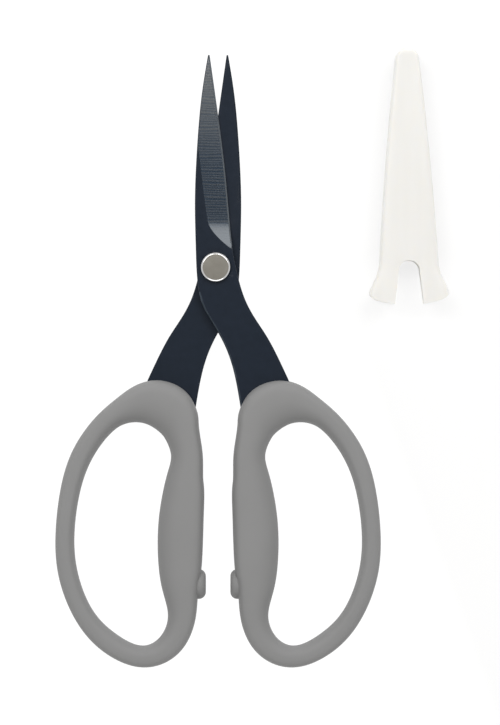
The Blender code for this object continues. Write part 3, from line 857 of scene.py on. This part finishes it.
@dataclass
class SteelHalf:
    """One half's steel: blade, shank and tang, blanked from one plate and ground."""

    half: Half
    loop: FingerLoop
    reach: float = 52.8  # pivot axis to tip
    tip_offset: float = -2.3
    tip_width: float = 0.4
    edge_end: Point = (3.6, 4.3)  # where the cutting edge stops
    edge_belly: float = 0.4
    spine_width: float = 5.75
    spine_shape: tuple[Point, ...] = ((0.73, 0.79), (0.94, 0.5), (1.0, 0.29), (0.96, 0.08))
    shank_length: float = 28.6
    shank_spread: float = 17.8
    shank_back: tuple[Point, ...] = (
        (-0.2893, 0.1119),
        (-0.2331, 0.3007),
        (-0.1433, 0.4196),
        (0.0562, 0.6329),
        (0.2135, 0.8951),
    )
    shank_front: tuple[Point, ...] = (
        (0.2781, 0.0839),
        (0.3792, 0.2832),
        (0.5309, 0.458),
        (0.7107, 0.6329),
        (1.0, 1.0),
    )
    collar_inner: float = 17.55  # where the shank's edges enter the moulding, in stations
    collar_outer: float = 18.75
    collar_turn: float = 0.25  # stations in which the inner edge turns along the tang
    lock_station: float = 18.5
    lock_radius: float = 1.5
    tang_cover: float = 2.0
    bevel_width: float = 5.4
    bevel_edge: float = 0.5  # steel left at the cutting edge by the main grind
    grind_end_y: float = 10.6
    wheel_radius: float = 31.6
    plunge_angle: float = math.radians(7)
    crease_round: float = 1.2  # the crease before the ramp is polished over this far
    edge_land: float = 0.1
    hone_angle: float = math.radians(42)
    hone_depth: float = 0.22
    hone_fade: Point = (-0.2, 2.2)  # above the end of the cutting edge, from no honing to all of it
    hone_share: float = 0.4  # of a section's width, at most
    keen_radius: float = 0.02  # of the honed edge
    hollow_depth: float = 0.15
    hollow_width: float = 7.0
    hollow_land: float = 0.8
    hollow_end_y: float = 9.0
    hollow_fade: float = 4.0  # along the blade, up to its full depth
    corner_radius: float = 0.15  # left by the finishing drum
    corner_share: float = 0.2  # of a section's width, at most
    worn_radius: float = 0.5  # the shank's inner edge is rubbed this round, on its outer face
    wear_and_highlight_y: Point = (-3.0, -9.0)  # from a sharp edge here to the full rounding, with its painted highlight, here
    bore_radius: float = 2.6
    curve_steps: int = 16
    ramp_room: float = 4.0  # above the end of the grind, where the rows get closer
    join_drop: float = 1.5  # below the end of the cutting edge, where the rows start to fan out
    blade_rows: int = 80
    ramp_rows: int = 60
    shank_rows: int = 64
    corner_points: int = 4
    hollow_points: int = 7
    point_gap: float = 0.02  # the least distance between a crease and a corner
    hollow_gap: float = 0.01  # and between two points of the hollow
    bore_sides: int = 64

    def shank_side(self, shape: tuple[Point, ...]) -> list[Point]:
        """Points of one edge of the shank, from shares of its spread and its length."""
        return [(across * self.shank_spread, -along * self.shank_length) for across, along in shape]

    def front_rail(self) -> np.ndarray:
        """The cutting edge and the shank's outer edge.

        Returns:
            Points from the tip down into the moulding.
        """
        tip = Vector((self.tip_offset + self.tip_width / 2, self.reach))
        heel = Vector(self.edge_end)
        chord = heel - tip
        bow = Vector((-chord.y, chord.x)).normalized() * self.edge_belly
        belly = [tip + chord * share + bow * math.sin(math.pi * share) for share in (1 / 3, 2 / 3)]
        edge = spline([tip, *belly, heel, *self.shank_side(self.shank_front)], self.curve_steps)
        stop, start = self.loop.index(self.loop.neck_station), self.loop.index(self.collar_outer)
        tang = [self.loop.at(i, self.tang_cover) for i in range(start, stop - 1, -1)]
        return np.vstack([edge, tang])

    def back_rail(self) -> np.ndarray:
        """The blade's back and the shank's inner edge.

        Returns:
            Points from the tip down into the moulding.
        """
        tip = (self.tip_offset - self.tip_width / 2, self.reach)
        spine = [(-across * self.spine_width, along * self.reach) for across, along in self.spine_shape]
        stop, start = self.loop.index(self.loop.neck_station), self.loop.index(self.collar_inner)
        collar = self.loop.at(start, self.loop.widths[start] - SEAT_GAP)
        back = spline([tip, *spine, *self.shank_side(self.shank_back), tuple(collar)], self.curve_steps)
        below = range(start - round(self.collar_turn * self.loop.steps), stop - 1, -1)
        tang = [self.loop.at(i, self.loop.widths[i] - self.tang_cover) for i in below]
        return np.vstack([back, tang])

    @property
    def slope(self) -> float:
        """The main grind's angle to the plate."""
        return math.atan2(STEEL_THICKNESS - self.bevel_edge, self.bevel_width)

    def across(self) -> Vector:
        """Unit direction across the cutting edge's chord, out of the blade."""
        along = Vector((self.tip_offset, self.reach)) - Vector(self.edge_end)
        return Vector((along.y, -along.x)).normalized()

    def inset(self, x: float, y: float) -> float:
        """How far a point lies out from the cutting edge's chord; below 0 is in the blade."""
        return (Vector((x, y)) - Vector(self.edge_end)).dot(self.across())

    def inset_x(self, inset: float, y: float) -> float:
        """The x at which a line straight across the snips meets the given inset."""
        out = self.across()
        return self.edge_end[0] + (inset - (y - self.edge_end[1]) * out.y) / out.x

    def ramp(self, y: float) -> float:
        """How far the wheel has risen off the ground face where it runs out towards the pivot.

        Args:
            y: the place along the blade.

        Returns:
            The rise, square to the ground face.
        """
        run = self.grind_end_y - y
        run = (run + math.hypot(run, self.crease_round)) / 2
        turn = math.asin(min(1.0, run / self.wheel_radius + math.sin(self.plunge_angle)))
        return self.wheel_radius * (math.cos(self.plunge_angle) - math.cos(turn))

    def ground(self, x: float, y: float) -> float:
        """Height that the main grind leaves at a point, at most the plate's face."""
        fall = math.tan(self.slope) * (self.inset(x, y) + self.bevel_width)
        return min(FACE_Z, FACE_Z - fall + self.ramp(y) / math.cos(self.slope))

    def hollow(self, x: float, y: float) -> float:
        """How deep the inner face is ground hollow at a point.

        Args:
            x: the place across the blade.
            y: the place along it.

        Returns:
            The depth, which is none outside the hollow.
        """
        share = (-self.inset(x, y) - self.hollow_land) / self.hollow_width
        dish = max(0.0, 4 * share * (1 - share))
        full_y = self.hollow_end_y + self.hollow_fade
        return self.hollow_depth * dish * smoothstep(self.hollow_end_y, full_y, y)

    def hone(self, y: float) -> float:
        """How much of the honed edge there is: all along the blade, and none from its heel down."""
        return smoothstep(*(self.edge_end[1] + fade for fade in self.hone_fade), y)

    def wear_and_highlight(self, y: float) -> float:
        """How much of the worn edge, and of its painted highlight, there is: none on the blade, and all
        down the shank.
        """
        start, full = self.wear_and_highlight_y
        return smoothstep(-start, -full, -y)

    def section(self, back: np.ndarray, front: np.ndarray, on_blade: bool) -> np.ndarray:
        """The plate's section on a line from its back to its front edge.

        Args:
            back: where the line starts.
            front: where it ends.
            on_blade: whether the line runs straight across the ground blade.

        Returns:
            Points round the section: back corner, start of the grind, honed edge, lower front
            corner, hollow and lower back corner.
        """
        wide, y = float(np.linalg.norm(front - back)), float(front[1])
        turns = np.linspace(0, math.pi / 2, self.corner_points)
        radius = min(self.corner_radius, self.corner_share * wide)
        worn = radius + (self.worn_radius - radius) * self.wear_and_highlight(y)
        back_top, front_top = (self.ground(x, y) if on_blade else FACE_Z for x in (back[0], front[0]))
        hone = self.hone(y) if on_blade else 0.0
        keen = (1 - hone) * radius + hone * self.keen_radius
        drop = min(front_top - RIDE_Z - self.edge_land, self.hone_depth) * hone
        land = min(drop / (math.tan(self.hone_angle) - math.tan(self.slope)), self.hone_share * wide)
        points = [(worn * (1 - math.cos(a)), back_top - worn * (1 - math.sin(a))) for a in turns]
        crease = wide / 2
        if on_blade:
            start = -self.bevel_width + self.ramp(y) / math.sin(self.slope)
            crease = self.inset_x(start, y) - float(back[0])
        last = wide - max(land, radius) - self.point_gap
        crease = min(max(crease, worn + self.point_gap), last)
        points.append((crease, self.ground(back[0] + crease, y) if on_blade else FACE_Z))
        for a, share in zip(turns, np.linspace(1, 0, self.corner_points)):
            stone = (wide - land * share, front_top - drop + land * share * math.tan(self.hone_angle))
            drum = (wide - radius * (1 - math.sin(a)), front_top - radius * (1 - math.cos(a)))
            points.append(tuple(hone * s + (1 - hone) * d for s, d in zip(stone, drum)))
        points += [(wide - keen * (1 - math.cos(a)), RIDE_Z + keen * (1 - math.sin(a))) for a in turns]
        for k in range(self.hollow_points):
            share = k / (self.hollow_points - 1)
            low_s = radius + self.hollow_gap * (self.hollow_points - k)
            high_s = wide - keen - self.hollow_gap * (k + 1)
            s = high_s + (low_s - high_s) * share
            if on_blade:
                s = self.inset_x(-self.hollow_land - self.hollow_width * share, y) - float(back[0])
                s = min(max(s, low_s), high_s)
            points.append((s, RIDE_Z + (self.hollow(back[0] + s, y) if on_blade else 0.0)))
        points += [(radius * (1 - math.sin(a)), RIDE_Z + radius * (1 - math.cos(a))) for a in turns]
        along = (front - back) / wide
        return np.array([(*(back + along * s), z) for s, z in points])

    def rows(self) -> tuple[np.ndarray, list[float]]:
        """All the sections, from the tip to the end of the tang.

        Returns:
            The sections' points, and the y of those that run straight across the blade.
        """
        rails = self.back_rail(), self.front_rail()
        ramp_y, join_y = self.grind_end_y + self.ramp_room, self.edge_end[1] - self.join_drop
        blade_ys = np.linspace(self.reach, ramp_y, self.blade_rows)
        ys = [*blade_ys, *np.linspace(ramp_y, join_y, self.ramp_rows)[1:]]
        sections = []
        for y in ys:
            ends = [np.array((np.interp(y, rail[::-1, 1], rail[::-1, 0]), y)) for rail in rails]
            sections.append(self.section(*ends, on_blade=True))
        below = []
        for rail in rails:
            join = (np.interp(join_y, rail[::-1, 1], rail[::-1, 0]), join_y)
            below.append(resample(np.vstack([join, rail[rail[:, 1] < join_y]]), self.shank_rows))
        for ends in list(zip(*below))[1:]:
            sections.append(self.section(*ends, on_blade=False))
        return np.array(sections), ys

    def outline(self) -> np.ndarray:
        """Counterclockwise outline of the plate in the half frame."""
        return np.vstack([self.back_rail(), self.front_rail()[::-1]])

    def lock_place(self) -> Point:
        """Where the moulding passes through the tang, in the middle of the shoulder."""
        index = self.loop.index(self.lock_station)
        return tuple(self.loop.at(index, self.loop.widths[index] / 2))

    def bore(self, name: str, place: Point, radius: float) -> Mesh:
        """A bar along Z, for a bore or for what fills one.

        Args:
            name: the mesh's name.
            place: the middle of the bore.
            radius: its radius.

        Returns:
            The mesh in the half frame.
        """
        turns = np.arange(self.bore_sides) * 2 * math.pi / self.bore_sides
        circle = np.column_stack([place[0] + radius * np.cos(turns), place[1] + radius * np.sin(turns)])
        return prism(name, circle, -CUTTER_REACH, CUTTER_REACH)

    def build(self) -> Mesh:
        """Makes the plate with its creases and the parts of it that each finish covers.

        Returns:
            The mesh in the half frame, with material slots as in Surface.
        """
        rings, ys = self.rows()
        mesh = lofted(f"{self.half.word}_steel", rings, closed=False)
        sides = rings.shape[1]
        crease, hone_top, hone_low = self.corner_points, self.corner_points + 1, 2 * self.corner_points
        heel_row = next(i for i, y in enumerate(ys) if y < self.edge_end[1])
        hone_row = next(i for i, y in enumerate(ys) if self.hone(y) < HALFWAY)
        highlight_rows = np.array([self.wear_and_highlight(float(y)) > HALFWAY for y in rings[:-1, 0, 1]])
        surfaces = np.zeros(len(mesh.polygons), np.int32)
        skin = surfaces[: highlight_rows.size * sides].reshape(-1, sides)
        skin[:heel_row, crease] = Surface.GROUND.value
        skin[: min(heel_row, hone_row), hone_top:hone_low] = Surface.HONED.value
        # painted highlight on the shank's rounded inner edge
        skin[highlight_rows, : self.corner_points - 1] = Surface.PAINTED_EDGE_HIGHLIGHT.value
        mesh.polygons.foreach_set("material_index", surfaces)
        creases = {
            (row * sides + column, (row + 1) * sides + column)
            for row in range(heel_row)
            for column in (crease, hone_top, hone_low)
        }
        sharp = mesh.attributes.new("sharp_edge", "BOOLEAN", "EDGE")
        for edge in mesh.edges:
            sharp.data[edge.index].value = tuple(sorted(edge.vertices)) in creases
        pivot_x = -self.half.value * CENTRE_LINE_X
        pivot_bore = self.bore("pivot_bore", (pivot_x, 0.0), self.bore_radius)
        return cut(mesh, [pivot_bore, self.bore("lock_bore", self.lock_place(), self.lock_radius)])

    def dress(self, finishes: dict[Surface, Material]) -> Object:
        """Puts the steel in the scene.

        Args:
            finishes: the material for each kind of surface.

        Returns:
            The new piece.
        """
        materials = [finishes[surface] for surface in Surface]
        node = f"{self.half.word}_blade"
        piece = put(self.build(), self.half.to_world, materials, self.half.body, node)
        keep_flats_flat(piece)
        return piece


@dataclass
class StopBumper:
    """A round button with a stem, pressed into the palm's side, that stops the closing handles."""

    half: Half
    loop: FingerLoop
    rise: float = 15.3  # above the finger hole's bottom
    radius: float = 3.7
    proud: float = 1.7
    sunk: float = 1.3
    stem_radius: float = 1.8
    stem_length: float = 2.6
    round_steps: int = 12
    sides: int = 72

    def profile(self, extra: float) -> list[Point]:
        """Half section of the bumper.

        Args:
            extra: clearance that it is grown by.

        Returns:
            (radius, z) points, from the top of its axis to the bottom.
        """
        head, stem = self.radius + extra, self.stem_radius + extra
        flat = head - self.proud
        points = [(0.0, self.proud + extra)]
        for turn in np.linspace(0, math.pi / 2, self.round_steps):
            points.append((flat + self.proud * math.sin(turn), extra + self.proud * math.cos(turn)))
        foot = -self.sunk - self.stem_length - extra
        points += [(head, -self.sunk - extra), (stem, -self.sunk - extra), (stem, foot), (0.0, foot)]
        return points

    def seat(self) -> Matrix:
        """Sets the bumper's axis across the snips, out of the palm's side.

        Returns:
            From the bumper's own frame to the half frame.
        """
        palm = range(self.loop.index(self.loop.heel_station), self.loop.index(self.loop.palm_station))
        rim_x, rim_y = np.array([self.loop.rim(i) for i in palm]).T
        seat_y = self.loop.top_y - self.loop.length + self.rise
        seat_x = float(np.interp(seat_y, rim_y, rim_x))
        return Matrix.Translation((seat_x, seat_y, 0)) @ Matrix.Rotation(-math.pi / 2, 4, "Y")

    def build(self, name: str, extra: float) -> Mesh:
        """Makes the bumper, or the seat that it leaves in the moulding.

        Args:
            name: the mesh's name.
            extra: clearance that it is grown by.

        Returns:
            The mesh in the half frame.
        """
        mesh = turned(name, self.profile(extra), self.sides)
        mesh.set_sharp_from_angle(angle=SHARP_ANGLE)
        mesh.transform(self.seat())
        return mesh

    def dress(self, finish: Material) -> Object:
        """Makes the bumper and puts it in the scene."""
        mesh, node = self.build(f"{self.half.hand}_stop", 0.0), f"{self.half.hand}_bumper"
        return put(mesh, self.half.to_world, [finish], self.half.body, node)


@dataclass
class RingHandle:
    """A moulded ring handle over the tang."""

    half: Half
    loop: FingerLoop
    steel: SteelHalf
    bumper: StopBumper
    hole_squareness: float = 2.1
    rim_squareness: float = 3.4
    section_sides: int = 48
    seat_angle: float = math.radians(50)  # the moulding is smooth where it turns less than this

    def ring(self, index: int) -> list[tuple[float, float, float]]:
        """One section of the moulding, between the finger hole and the rim.

        Args:
            index: the section's place on the loop's rails.

        Returns:
            Points round the section.
        """
        inside = self.loop.crests[index] * self.loop.widths[index]
        outside = self.loop.widths[index] - inside
        points = []
        for angle in np.arange(self.section_sides) * 2 * math.pi / self.section_sides:
            towards_rim = math.cos(angle) > 0
            c, s = superellipse(angle, self.rim_squareness if towards_rim else self.hole_squareness)
            inset = inside + c * (outside if towards_rim else inside)
            points.append((*self.loop.at(index, inset), s * self.loop.thicknesses[index] / 2))
        return points

    def build(self) -> Mesh:
        """Makes the moulding with the seats of its tang and its bumper.

        Returns:
            The mesh in the half frame.
        """
        rings = np.array([self.ring(i) for i in range(len(self.loop.hole))])
        mesh = lofted(f"{self.half.hand}_grip", rings, closed=True)
        outline = grow(self.steel.outline(), SNUG)
        tang = prism("tang_seat", outline, RIDE_Z - SNUG, FACE_Z + SNUG)
        plug = self.steel.bore("tang_plug", self.steel.lock_place(), self.steel.lock_radius - SNUG)
        mesh = cut(mesh, [cut(tang, [plug]), self.bumper.build("bumper_seat", SNUG)])
        mesh.set_sharp_from_angle(angle=self.seat_angle)
        return mesh

    def dress(self, finish: Material) -> Object:
        """Makes the handle and puts it in the scene."""
        node = f"{self.half.hand}_handle"
        return put(self.build(), self.half.to_world, [finish], self.half.body, node)


@dataclass
class Pivot:
    """A headed post through both blades, and the screw and washer that close it from behind."""

    barrel_radius: float = 2.5
    barrel_wall: float = 1.0
    head_lip: float = 1.1
    head_rim: float = 0.38  # width of the bright bevel round the head
    head_rim_angle: float = math.radians(30)
    corner: float = 0.06
    corner_rise: float = 1 / 4  # of a rounded corner, at its middle point
    corner_drop: float = 1 / 3  # and below it, at a head's side
    screw_grip: float = 4.0
    screw_lip: float = 0.7
    screw_head_thickness: float = 0.8
    slot_width: float = 0.9
    slot_depth: float = 0.4
    washer_lip: float = 0.9
    washer_thickness: float = 0.4
    running_gap: float = 0.1
    slant_range: Point = (0.2, 0.97)  # of a normal's share along the axis, on a bright rim
    sides: int = 96

    @property
    def washer_high(self) -> float:
        """The washer's front face."""
        return -FACE_Z - SEAT_GAP

    @property
    def washer_low(self) -> float:
        """The washer's rear face."""
        return self.washer_high - self.washer_thickness

    @property
    def screw_high(self) -> float:
        """The underside of the screw's head."""
        return self.washer_low - SEAT_GAP

    def bevelled_edge(self, radius: float, face: float, side: int) -> list[Point]:
        """The bevel round a head, from its face to its side, with rounded corners.

        Args:
            radius: the head's radius.
            face: the z of its face.
            side: 1 if the face looks up, -1 if it looks down.

        Returns:
            Points of the profile.
        """
        fall = self.head_rim * math.tan(self.head_rim_angle)
        inner, outer, soft = radius - self.head_rim, radius, self.corner
        slant = math.tan(self.head_rim_angle) * soft
        return [
            (inner - soft, face),
            (inner, face - side * slant * self.corner_rise),
            (inner + soft, face - side * slant),
            (outer - soft, face - side * (fall - slant)),
            (outer - soft * self.corner_rise, face - side * (fall + soft * self.corner_drop)),
            (outer, face - side * (fall + soft)),
        ]

    def post(self) -> Mesh:
        """The headed post, hollow behind for the screw.

        Returns:
            The mesh about the pivot axis.
        """
        head_low = FACE_Z + SEAT_GAP
        head = self.barrel_radius + self.head_lip
        bore = self.barrel_radius - self.barrel_wall
        bore_end = self.screw_high + self.screw_grip + SEAT_GAP
        profile = [
            (0.0, PIVOT_FACE_Z),
            *self.bevelled_edge(head, PIVOT_FACE_Z, 1),
            (head, head_low),
            (self.barrel_radius, head_low),
            (self.barrel_radius, self.washer_low),
            (bore, self.washer_low),
            (bore, bore_end),
            (0.0, bore_end),
        ]
        return turned("pivot_headed_post", profile, self.sides)

    def screw(self) -> Mesh:
        """The slotted screw.

        Returns:
            The mesh about the pivot axis.
        """
        head = self.barrel_radius + self.screw_lip
        shank = self.barrel_radius - self.barrel_wall - self.running_gap
        low = self.screw_high - self.screw_head_thickness
        profile = [
            (0.0, self.screw_high + self.screw_grip),
            (shank, self.screw_high + self.screw_grip),
            (shank, self.screw_high),
            (head, self.screw_high),
            *self.bevelled_edge(head, low, -1)[::-1],
            (0.0, low),
        ]
        mesh = turned("pivot_slotted_screw", profile, self.sides)
        half, ends = self.slot_width / 2, CUTTER_REACH
        slot = np.array([(-ends, -half), (ends, -half), (ends, half), (-ends, half)])
        return cut(mesh, [prism("screw_slot", slot, low - CUTTER_REACH, low + self.slot_depth)])

    def washer(self) -> Mesh:
        """The plain washer.

        Returns:
            The mesh about the pivot axis.
        """
        bore = self.barrel_radius + self.running_gap
        rim, soft = self.barrel_radius + self.washer_lip, self.corner
        profile = [
            (bore, self.washer_high),
            (rim - soft, self.washer_high),
            (rim, self.washer_high - soft),
            (rim, self.washer_low + soft),
            (rim - soft, self.washer_low),
            (bore, self.washer_low),
        ]
        return turned("pivot_plain_washer", profile, self.sides)

    def mark_slants(self, mesh: Mesh) -> None:
        """Gives the faces that slant, between flat and upright, the second material slot.

        Args:
            mesh: the mesh, which is changed.
        """
        normals = np.empty(3 * len(mesh.polygons))
        mesh.polygons.foreach_get("normal", normals)
        lean = np.abs(normals[2::3])
        slants = (lean > self.slant_range[0]) & (lean < self.slant_range[1])
        mesh.polygons.foreach_set("material_index", slants.astype(np.int32))

    def dress(self, plate: Material, bright: Material) -> None:
        """Makes the three pieces and puts them in the scene.

        Args:
            plate: the finish of the faces and sides.
            bright: the finish of the rims, nearly white for a painted highlight.
        """
        to_world = Matrix.Scale(MM, 4) @ Matrix.Translation((0, 0, -PIVOT_FACE_Z))
        pieces = {"pivot_post": self.post(), "pivot_screw": self.screw(), "pivot_washer": self.washer()}
        for node, mesh in pieces.items():
            mesh.set_sharp_from_angle(angle=SHARP_ANGLE)
            self.mark_slants(mesh)
            # the slanting rim faces take the nearly white finish, a painted highlight
            piece = put(mesh, to_world, [plate, bright], Half.FRONT.body, node)
            keep_flats_flat(piece)


@dataclass
class BladeCover:
    """The slip-on cover: a flat tapered sleeve, closed at the tips, with a flared and notched mouth."""

    length: float = 63.9
    half_width: float = 7.4  # just above the flare
    half_depth: float = 3.45
    wall: float = 0.8
    end_radius: float = 3.05
    belly: float = 0.35  # how far its sides bow out
    flare: float = 2.6
    flare_length: float = 10.6
    slant: float = 1.7  # the mouth's outer corners stand back this far
    foot_round: float = 0.95  # and are rounded off by this much more
    foot_tightness: int = 11  # the higher, the nearer the corners the rounding stays
    foot_fade: int = 3  # the higher, the nearer the mouth it stays
    notch_width: float = 5.2  # at its round end
    notch_mouth: float = 7.2  # at the mouth
    notch_depth: float = 11.0
    place: Point = (48.2, -9.3)
    lean: float = math.radians(0.5)
    squareness: float = 6.0
    lip: float = 0.34  # radius round the mouth and the notch
    lip_angle: float = math.radians(50)  # edges that turn more than this are rounded
    lip_segments: int = 3
    sides: int = 40  # round each half of the sleeve
    notch_rows: int = 14
    sleeve_rows: int = 30
    end_rows: int = 14

    @property
    def end_start(self) -> float:
        """Where the round end starts, above the mouth."""
        return self.length - self.end_radius

    @property
    def notch_centre(self) -> float:
        """The middle of the notch's round end, above the mouth."""
        return self.notch_depth - self.notch_width / 2

    def widths(self, y: float) -> Point:
        """The sleeve's size at a distance above its mouth.

        Args:
            y: the distance.

        Returns:
            Half its width and half its depth.
        """
        if y <= self.flare_length:
            spread = smoothstep(0.0, 1.0, 1 - y / self.flare_length)
            return self.half_width + self.flare * spread, self.half_depth
        if y <= self.end_start:
            share = (y - self.flare_length) / (self.end_start - self.flare_length)
            taper = self.half_width + share * (self.end_radius - self.half_width)
            return taper + self.belly * math.sin(math.pi * share), self.half_depth
        rise = min(1.0, (y - self.end_start) / self.end_radius)
        fall = (1 - rise**self.squareness) ** (1 / self.squareness)
        return self.end_radius * math.sqrt(1 - rise**2), self.half_depth * fall

    def notch(self, y: float) -> float:
        """The notch's size at a distance above the mouth.

        Args:
            y: the distance.

        Returns:
            Half its width, and 0 above it.
        """
        radius = self.notch_width / 2
        if y < self.notch_centre:
            return radius + (self.notch_mouth / 2 - radius) * (1 - y / self.notch_centre)
        return math.sqrt(max(0.0, radius**2 - (y - self.notch_centre) ** 2))

    def heights(self) -> list[float]:
        """Where the sleeve's rings are.

        Returns:
            Distances above the mouth, close together round the notch's end and at the tip.
        """
        straight = np.linspace(0, self.notch_centre, self.notch_rows)
        quarter = np.sin(np.linspace(0, math.pi / 2, self.notch_rows))
        arch = self.notch_centre + self.notch_width / 2 * quarter
        sleeve = np.linspace(self.notch_depth, self.end_start, self.sleeve_rows)
        end = self.end_start + self.end_radius * np.sin(np.linspace(0, math.pi / 2, self.end_rows))
        return [*straight, *arch[1:], *sleeve[1:], *end[1:-1]]

    def ring(self, y: float, side: int) -> list[tuple[float, float, float]]:
        """Half a ring of the sleeve's outer skin.

        Args:
            y: its distance above the mouth.
            side: 1 for the half towards +X, -1 for the other.

        Returns:
            Points from the notch in the front, round the side, to the notch behind.
        """
        wide, deep = self.widths(y)
        gap = math.asin(min(1.0, self.notch(y) / wide) ** (self.squareness / 2))
        near_mouth = max(0.0, 1 - y / self.flare_length)
        slant, foot = self.slant * near_mouth, self.foot_round * near_mouth**self.foot_fade
        points = []
        for angle in np.linspace(math.pi / 2 - gap, -math.pi / 2 + gap, self.sides):
            c, s = superellipse(angle, self.squareness)
            out = c * wide / (self.half_width + self.flare)
            back = slant * out**2 + foot * out**self.foot_tightness
            points.append((side * c * wide, y + back, s * deep))
        return points

    def build(self) -> Mesh:
        """Makes the sleeve's outer skin as two halves that meet above the notch.

        Returns:
            The open skin, in the cover's own frame.
        """
        points, faces = [], []
        ys = self.heights()
        for side in (1, -1):
            first = len(points)
            for y in ys:
                points += self.ring(y, side)
            last = len(points) - self.sides
            skin = [
                [a, a + 1, a + 1 + self.sides, a + self.sides]
                for row in range(first, last, self.sides)
                for a in range(row, row + self.sides - 1)
            ]
            skin.append(list(range(last, len(points))))
            faces += [face[::side] for face in skin]
        mesh = bpy.data.meshes.new("slip_on_cover")
        mesh.from_pydata(points, [], faces)
        weld(mesh)
        mesh.shade_smooth()
        return mesh

    def dress(self, finish: Material) -> Object:
        """Makes the cover, gives it its wall and its lip, and puts it in the scene.

        Args:
            finish: its material.

        Returns:
            The new piece.
        """
        lie = Matrix.Translation((*self.place, TABLE_Z + self.half_depth - PIVOT_FACE_Z))
        to_world = Matrix.Scale(MM, 4) @ lie @ Matrix.Rotation(self.lean, 4, "Z")
        piece = put(self.build(), to_world, [finish], "cover", "blade_cover")
        wall = piece.modifiers.new("wall", "SOLIDIFY")
        wall.thickness = self.wall * MM
        wall.offset = -1
        wall.use_even_offset = True
        lip = piece.modifiers.new("lip", "BEVEL")
        lip.width = self.lip * MM
        lip.segments = self.lip_segments
        lip.limit_method = "ANGLE"
        lip.angle_limit = self.lip_angle
        keep_flats_flat(piece)
        return piece


@dataclass(frozen=True)
class Softbox:
    """One soft light, by where it stands round the snips."""

    name: str
    bearing: float  # degrees from +X towards +Y
    elevation: float  # degrees
    size: Point  # metres, across and up
    power: float  # watts
    distance: float = 0.9  # metres

    def stand(self) -> None:
        """Puts the light in the scene, facing the pivot."""
        lamp = bpy.data.lights.new(self.name, "AREA")
        lamp.shape = "RECTANGLE"
        lamp.size, lamp.size_y = self.size
        lamp.energy = self.power
        holder = bpy.data.objects.new(self.name, lamp)
        bearing, elevation = math.radians(self.bearing), math.radians(self.elevation)
        flat = math.cos(elevation)
        way = Vector((flat * math.cos(bearing), flat * math.sin(bearing), math.sin(elevation)))
        holder.location = way * self.distance
        holder.rotation_euler = way.to_track_quat("Z", "Y").to_euler()
        bpy.context.scene.collection.objects.link(holder)


@dataclass
class Studio:
    """A pale floor, soft lights and the camera above the snips."""

    image_width: int = 500
    image_height: int = 725
    mm_per_pixel: float = 0.2488
    pivot_pixel: Point = (215.7, 267.3)
    camera_height: float = 1000.0
    sensor: float = 36.0
    floor_size: float = 3.0
    tent: str = "#fffefc"  # white cloth all round
    tent_low: float = 0.68  # brightness of its walls
    tent_high: float = 0.36  # brightness overhead, where the camera looks through
    tent_roof: Point = (0.45, 1.0)  # sine of the elevation where the roof starts to dim, and of its top
    boxes: tuple[Softbox, ...] = (
        Softbox("softbox_back_left", 128, 52, (0.6, 0.45), 3.65),
        Softbox("softbox_back_right", 56, 47, (0.62, 0.44), 3.55),
        Softbox("strip_front", 270, 30, (1.1, 0.2), 1.3),
    )

    def lay_floor(self, finish: Material) -> None:
        """Lays the floor under the handles and the cover.

        Args:
            finish: its material.
        """
        half = self.floor_size / 2
        z = (TABLE_Z - PIVOT_FACE_Z) * MM
        mesh = bpy.data.meshes.new("floor")
        corners = [(-half, -half, z), (half, -half, z), (half, half, z), (-half, half, z)]
        mesh.from_pydata(corners, [], [(0, 1, 2, 3)])
        mesh.materials.append(finish)
        floor = bpy.data.objects.new("floor", mesh)
        bpy.context.scene.collection.objects.link(floor)

    def light(self) -> None:
        """Sets up the softboxes and the light tent round them."""
        world = bpy.data.worlds.new("light_tent")
        world.use_nodes = True
        tree = world.node_tree
        way = add_node(tree, "ShaderNodeTexCoord", {}).outputs["Generated"]
        height = add_node(tree, "ShaderNodeSeparateXYZ", {"Vector": way}).outputs["Z"]
        start, top = self.tent_roof
        roof = {"From Min": start, "From Max": top, "To Min": self.tent_low, "To Max": self.tent_high}
        fade = add_node(tree, "ShaderNodeMapRange", {"Value": height, **roof}).outputs[0]
        feed(tree.nodes["Background"], {"Color": linear(self.tent), "Strength": fade})
        bpy.context.scene.world = world
        bpy.context.scene.view_settings.view_transform = "Standard"
        for box in self.boxes:
            box.stand()

    def hang_camera(self) -> None:
        """Hangs the camera straight above, framed as the photograph is."""
        lens = bpy.data.cameras.new("camera")
        lens.sensor_width = self.sensor
        high = self.image_height * self.mm_per_pixel
        lens.lens = self.sensor * self.camera_height / high
        camera = bpy.data.objects.new("camera", lens)
        x = (self.image_width / 2 - self.pivot_pixel[0]) * self.mm_per_pixel
        y = -(self.image_height / 2 - self.pivot_pixel[1]) * self.mm_per_pixel
        camera.location = Vector((x, y, self.camera_height - PIVOT_FACE_Z)) * MM
        bpy.context.scene.collection.objects.link(camera)
        bpy.context.scene.camera = camera


def main() -> None:
    """Builds the studio, the two halves, the pivot and the cover."""
    logging.basicConfig(level=logging.INFO, format="%(name)s: %(message)s")
    studio = Studio()
    studio.hang_camera()
    studio.light()
    studio.lay_floor(LightTable().make())
    steel_finishes = {
        Surface.COATED: CoatedSteel().make(),
        Surface.GROUND: GroundSteel().make(),
        Surface.HONED: HonedSteel().make(),
        Surface.PAINTED_EDGE_HIGHLIGHT: PaintedEdgeHighlightSteel().make(),
    }
    moulding = SoftMoulding().make()
    rubber = BumperRubber().make()
    loop = FingerLoop()
    for half in Half:
        steel = SteelHalf(half, loop)
        bumper = StopBumper(half, loop)
        steel.dress(steel_finishes)
        bumper.dress(rubber)
        RingHandle(half, loop, steel, bumper).dress(moulding)
    Pivot().dress(NickelPlate().make(), NickelPaintedRimHighlight().make())
    BladeCover().dress(Polythene().make())


if __name__ == "__main__":
    main()
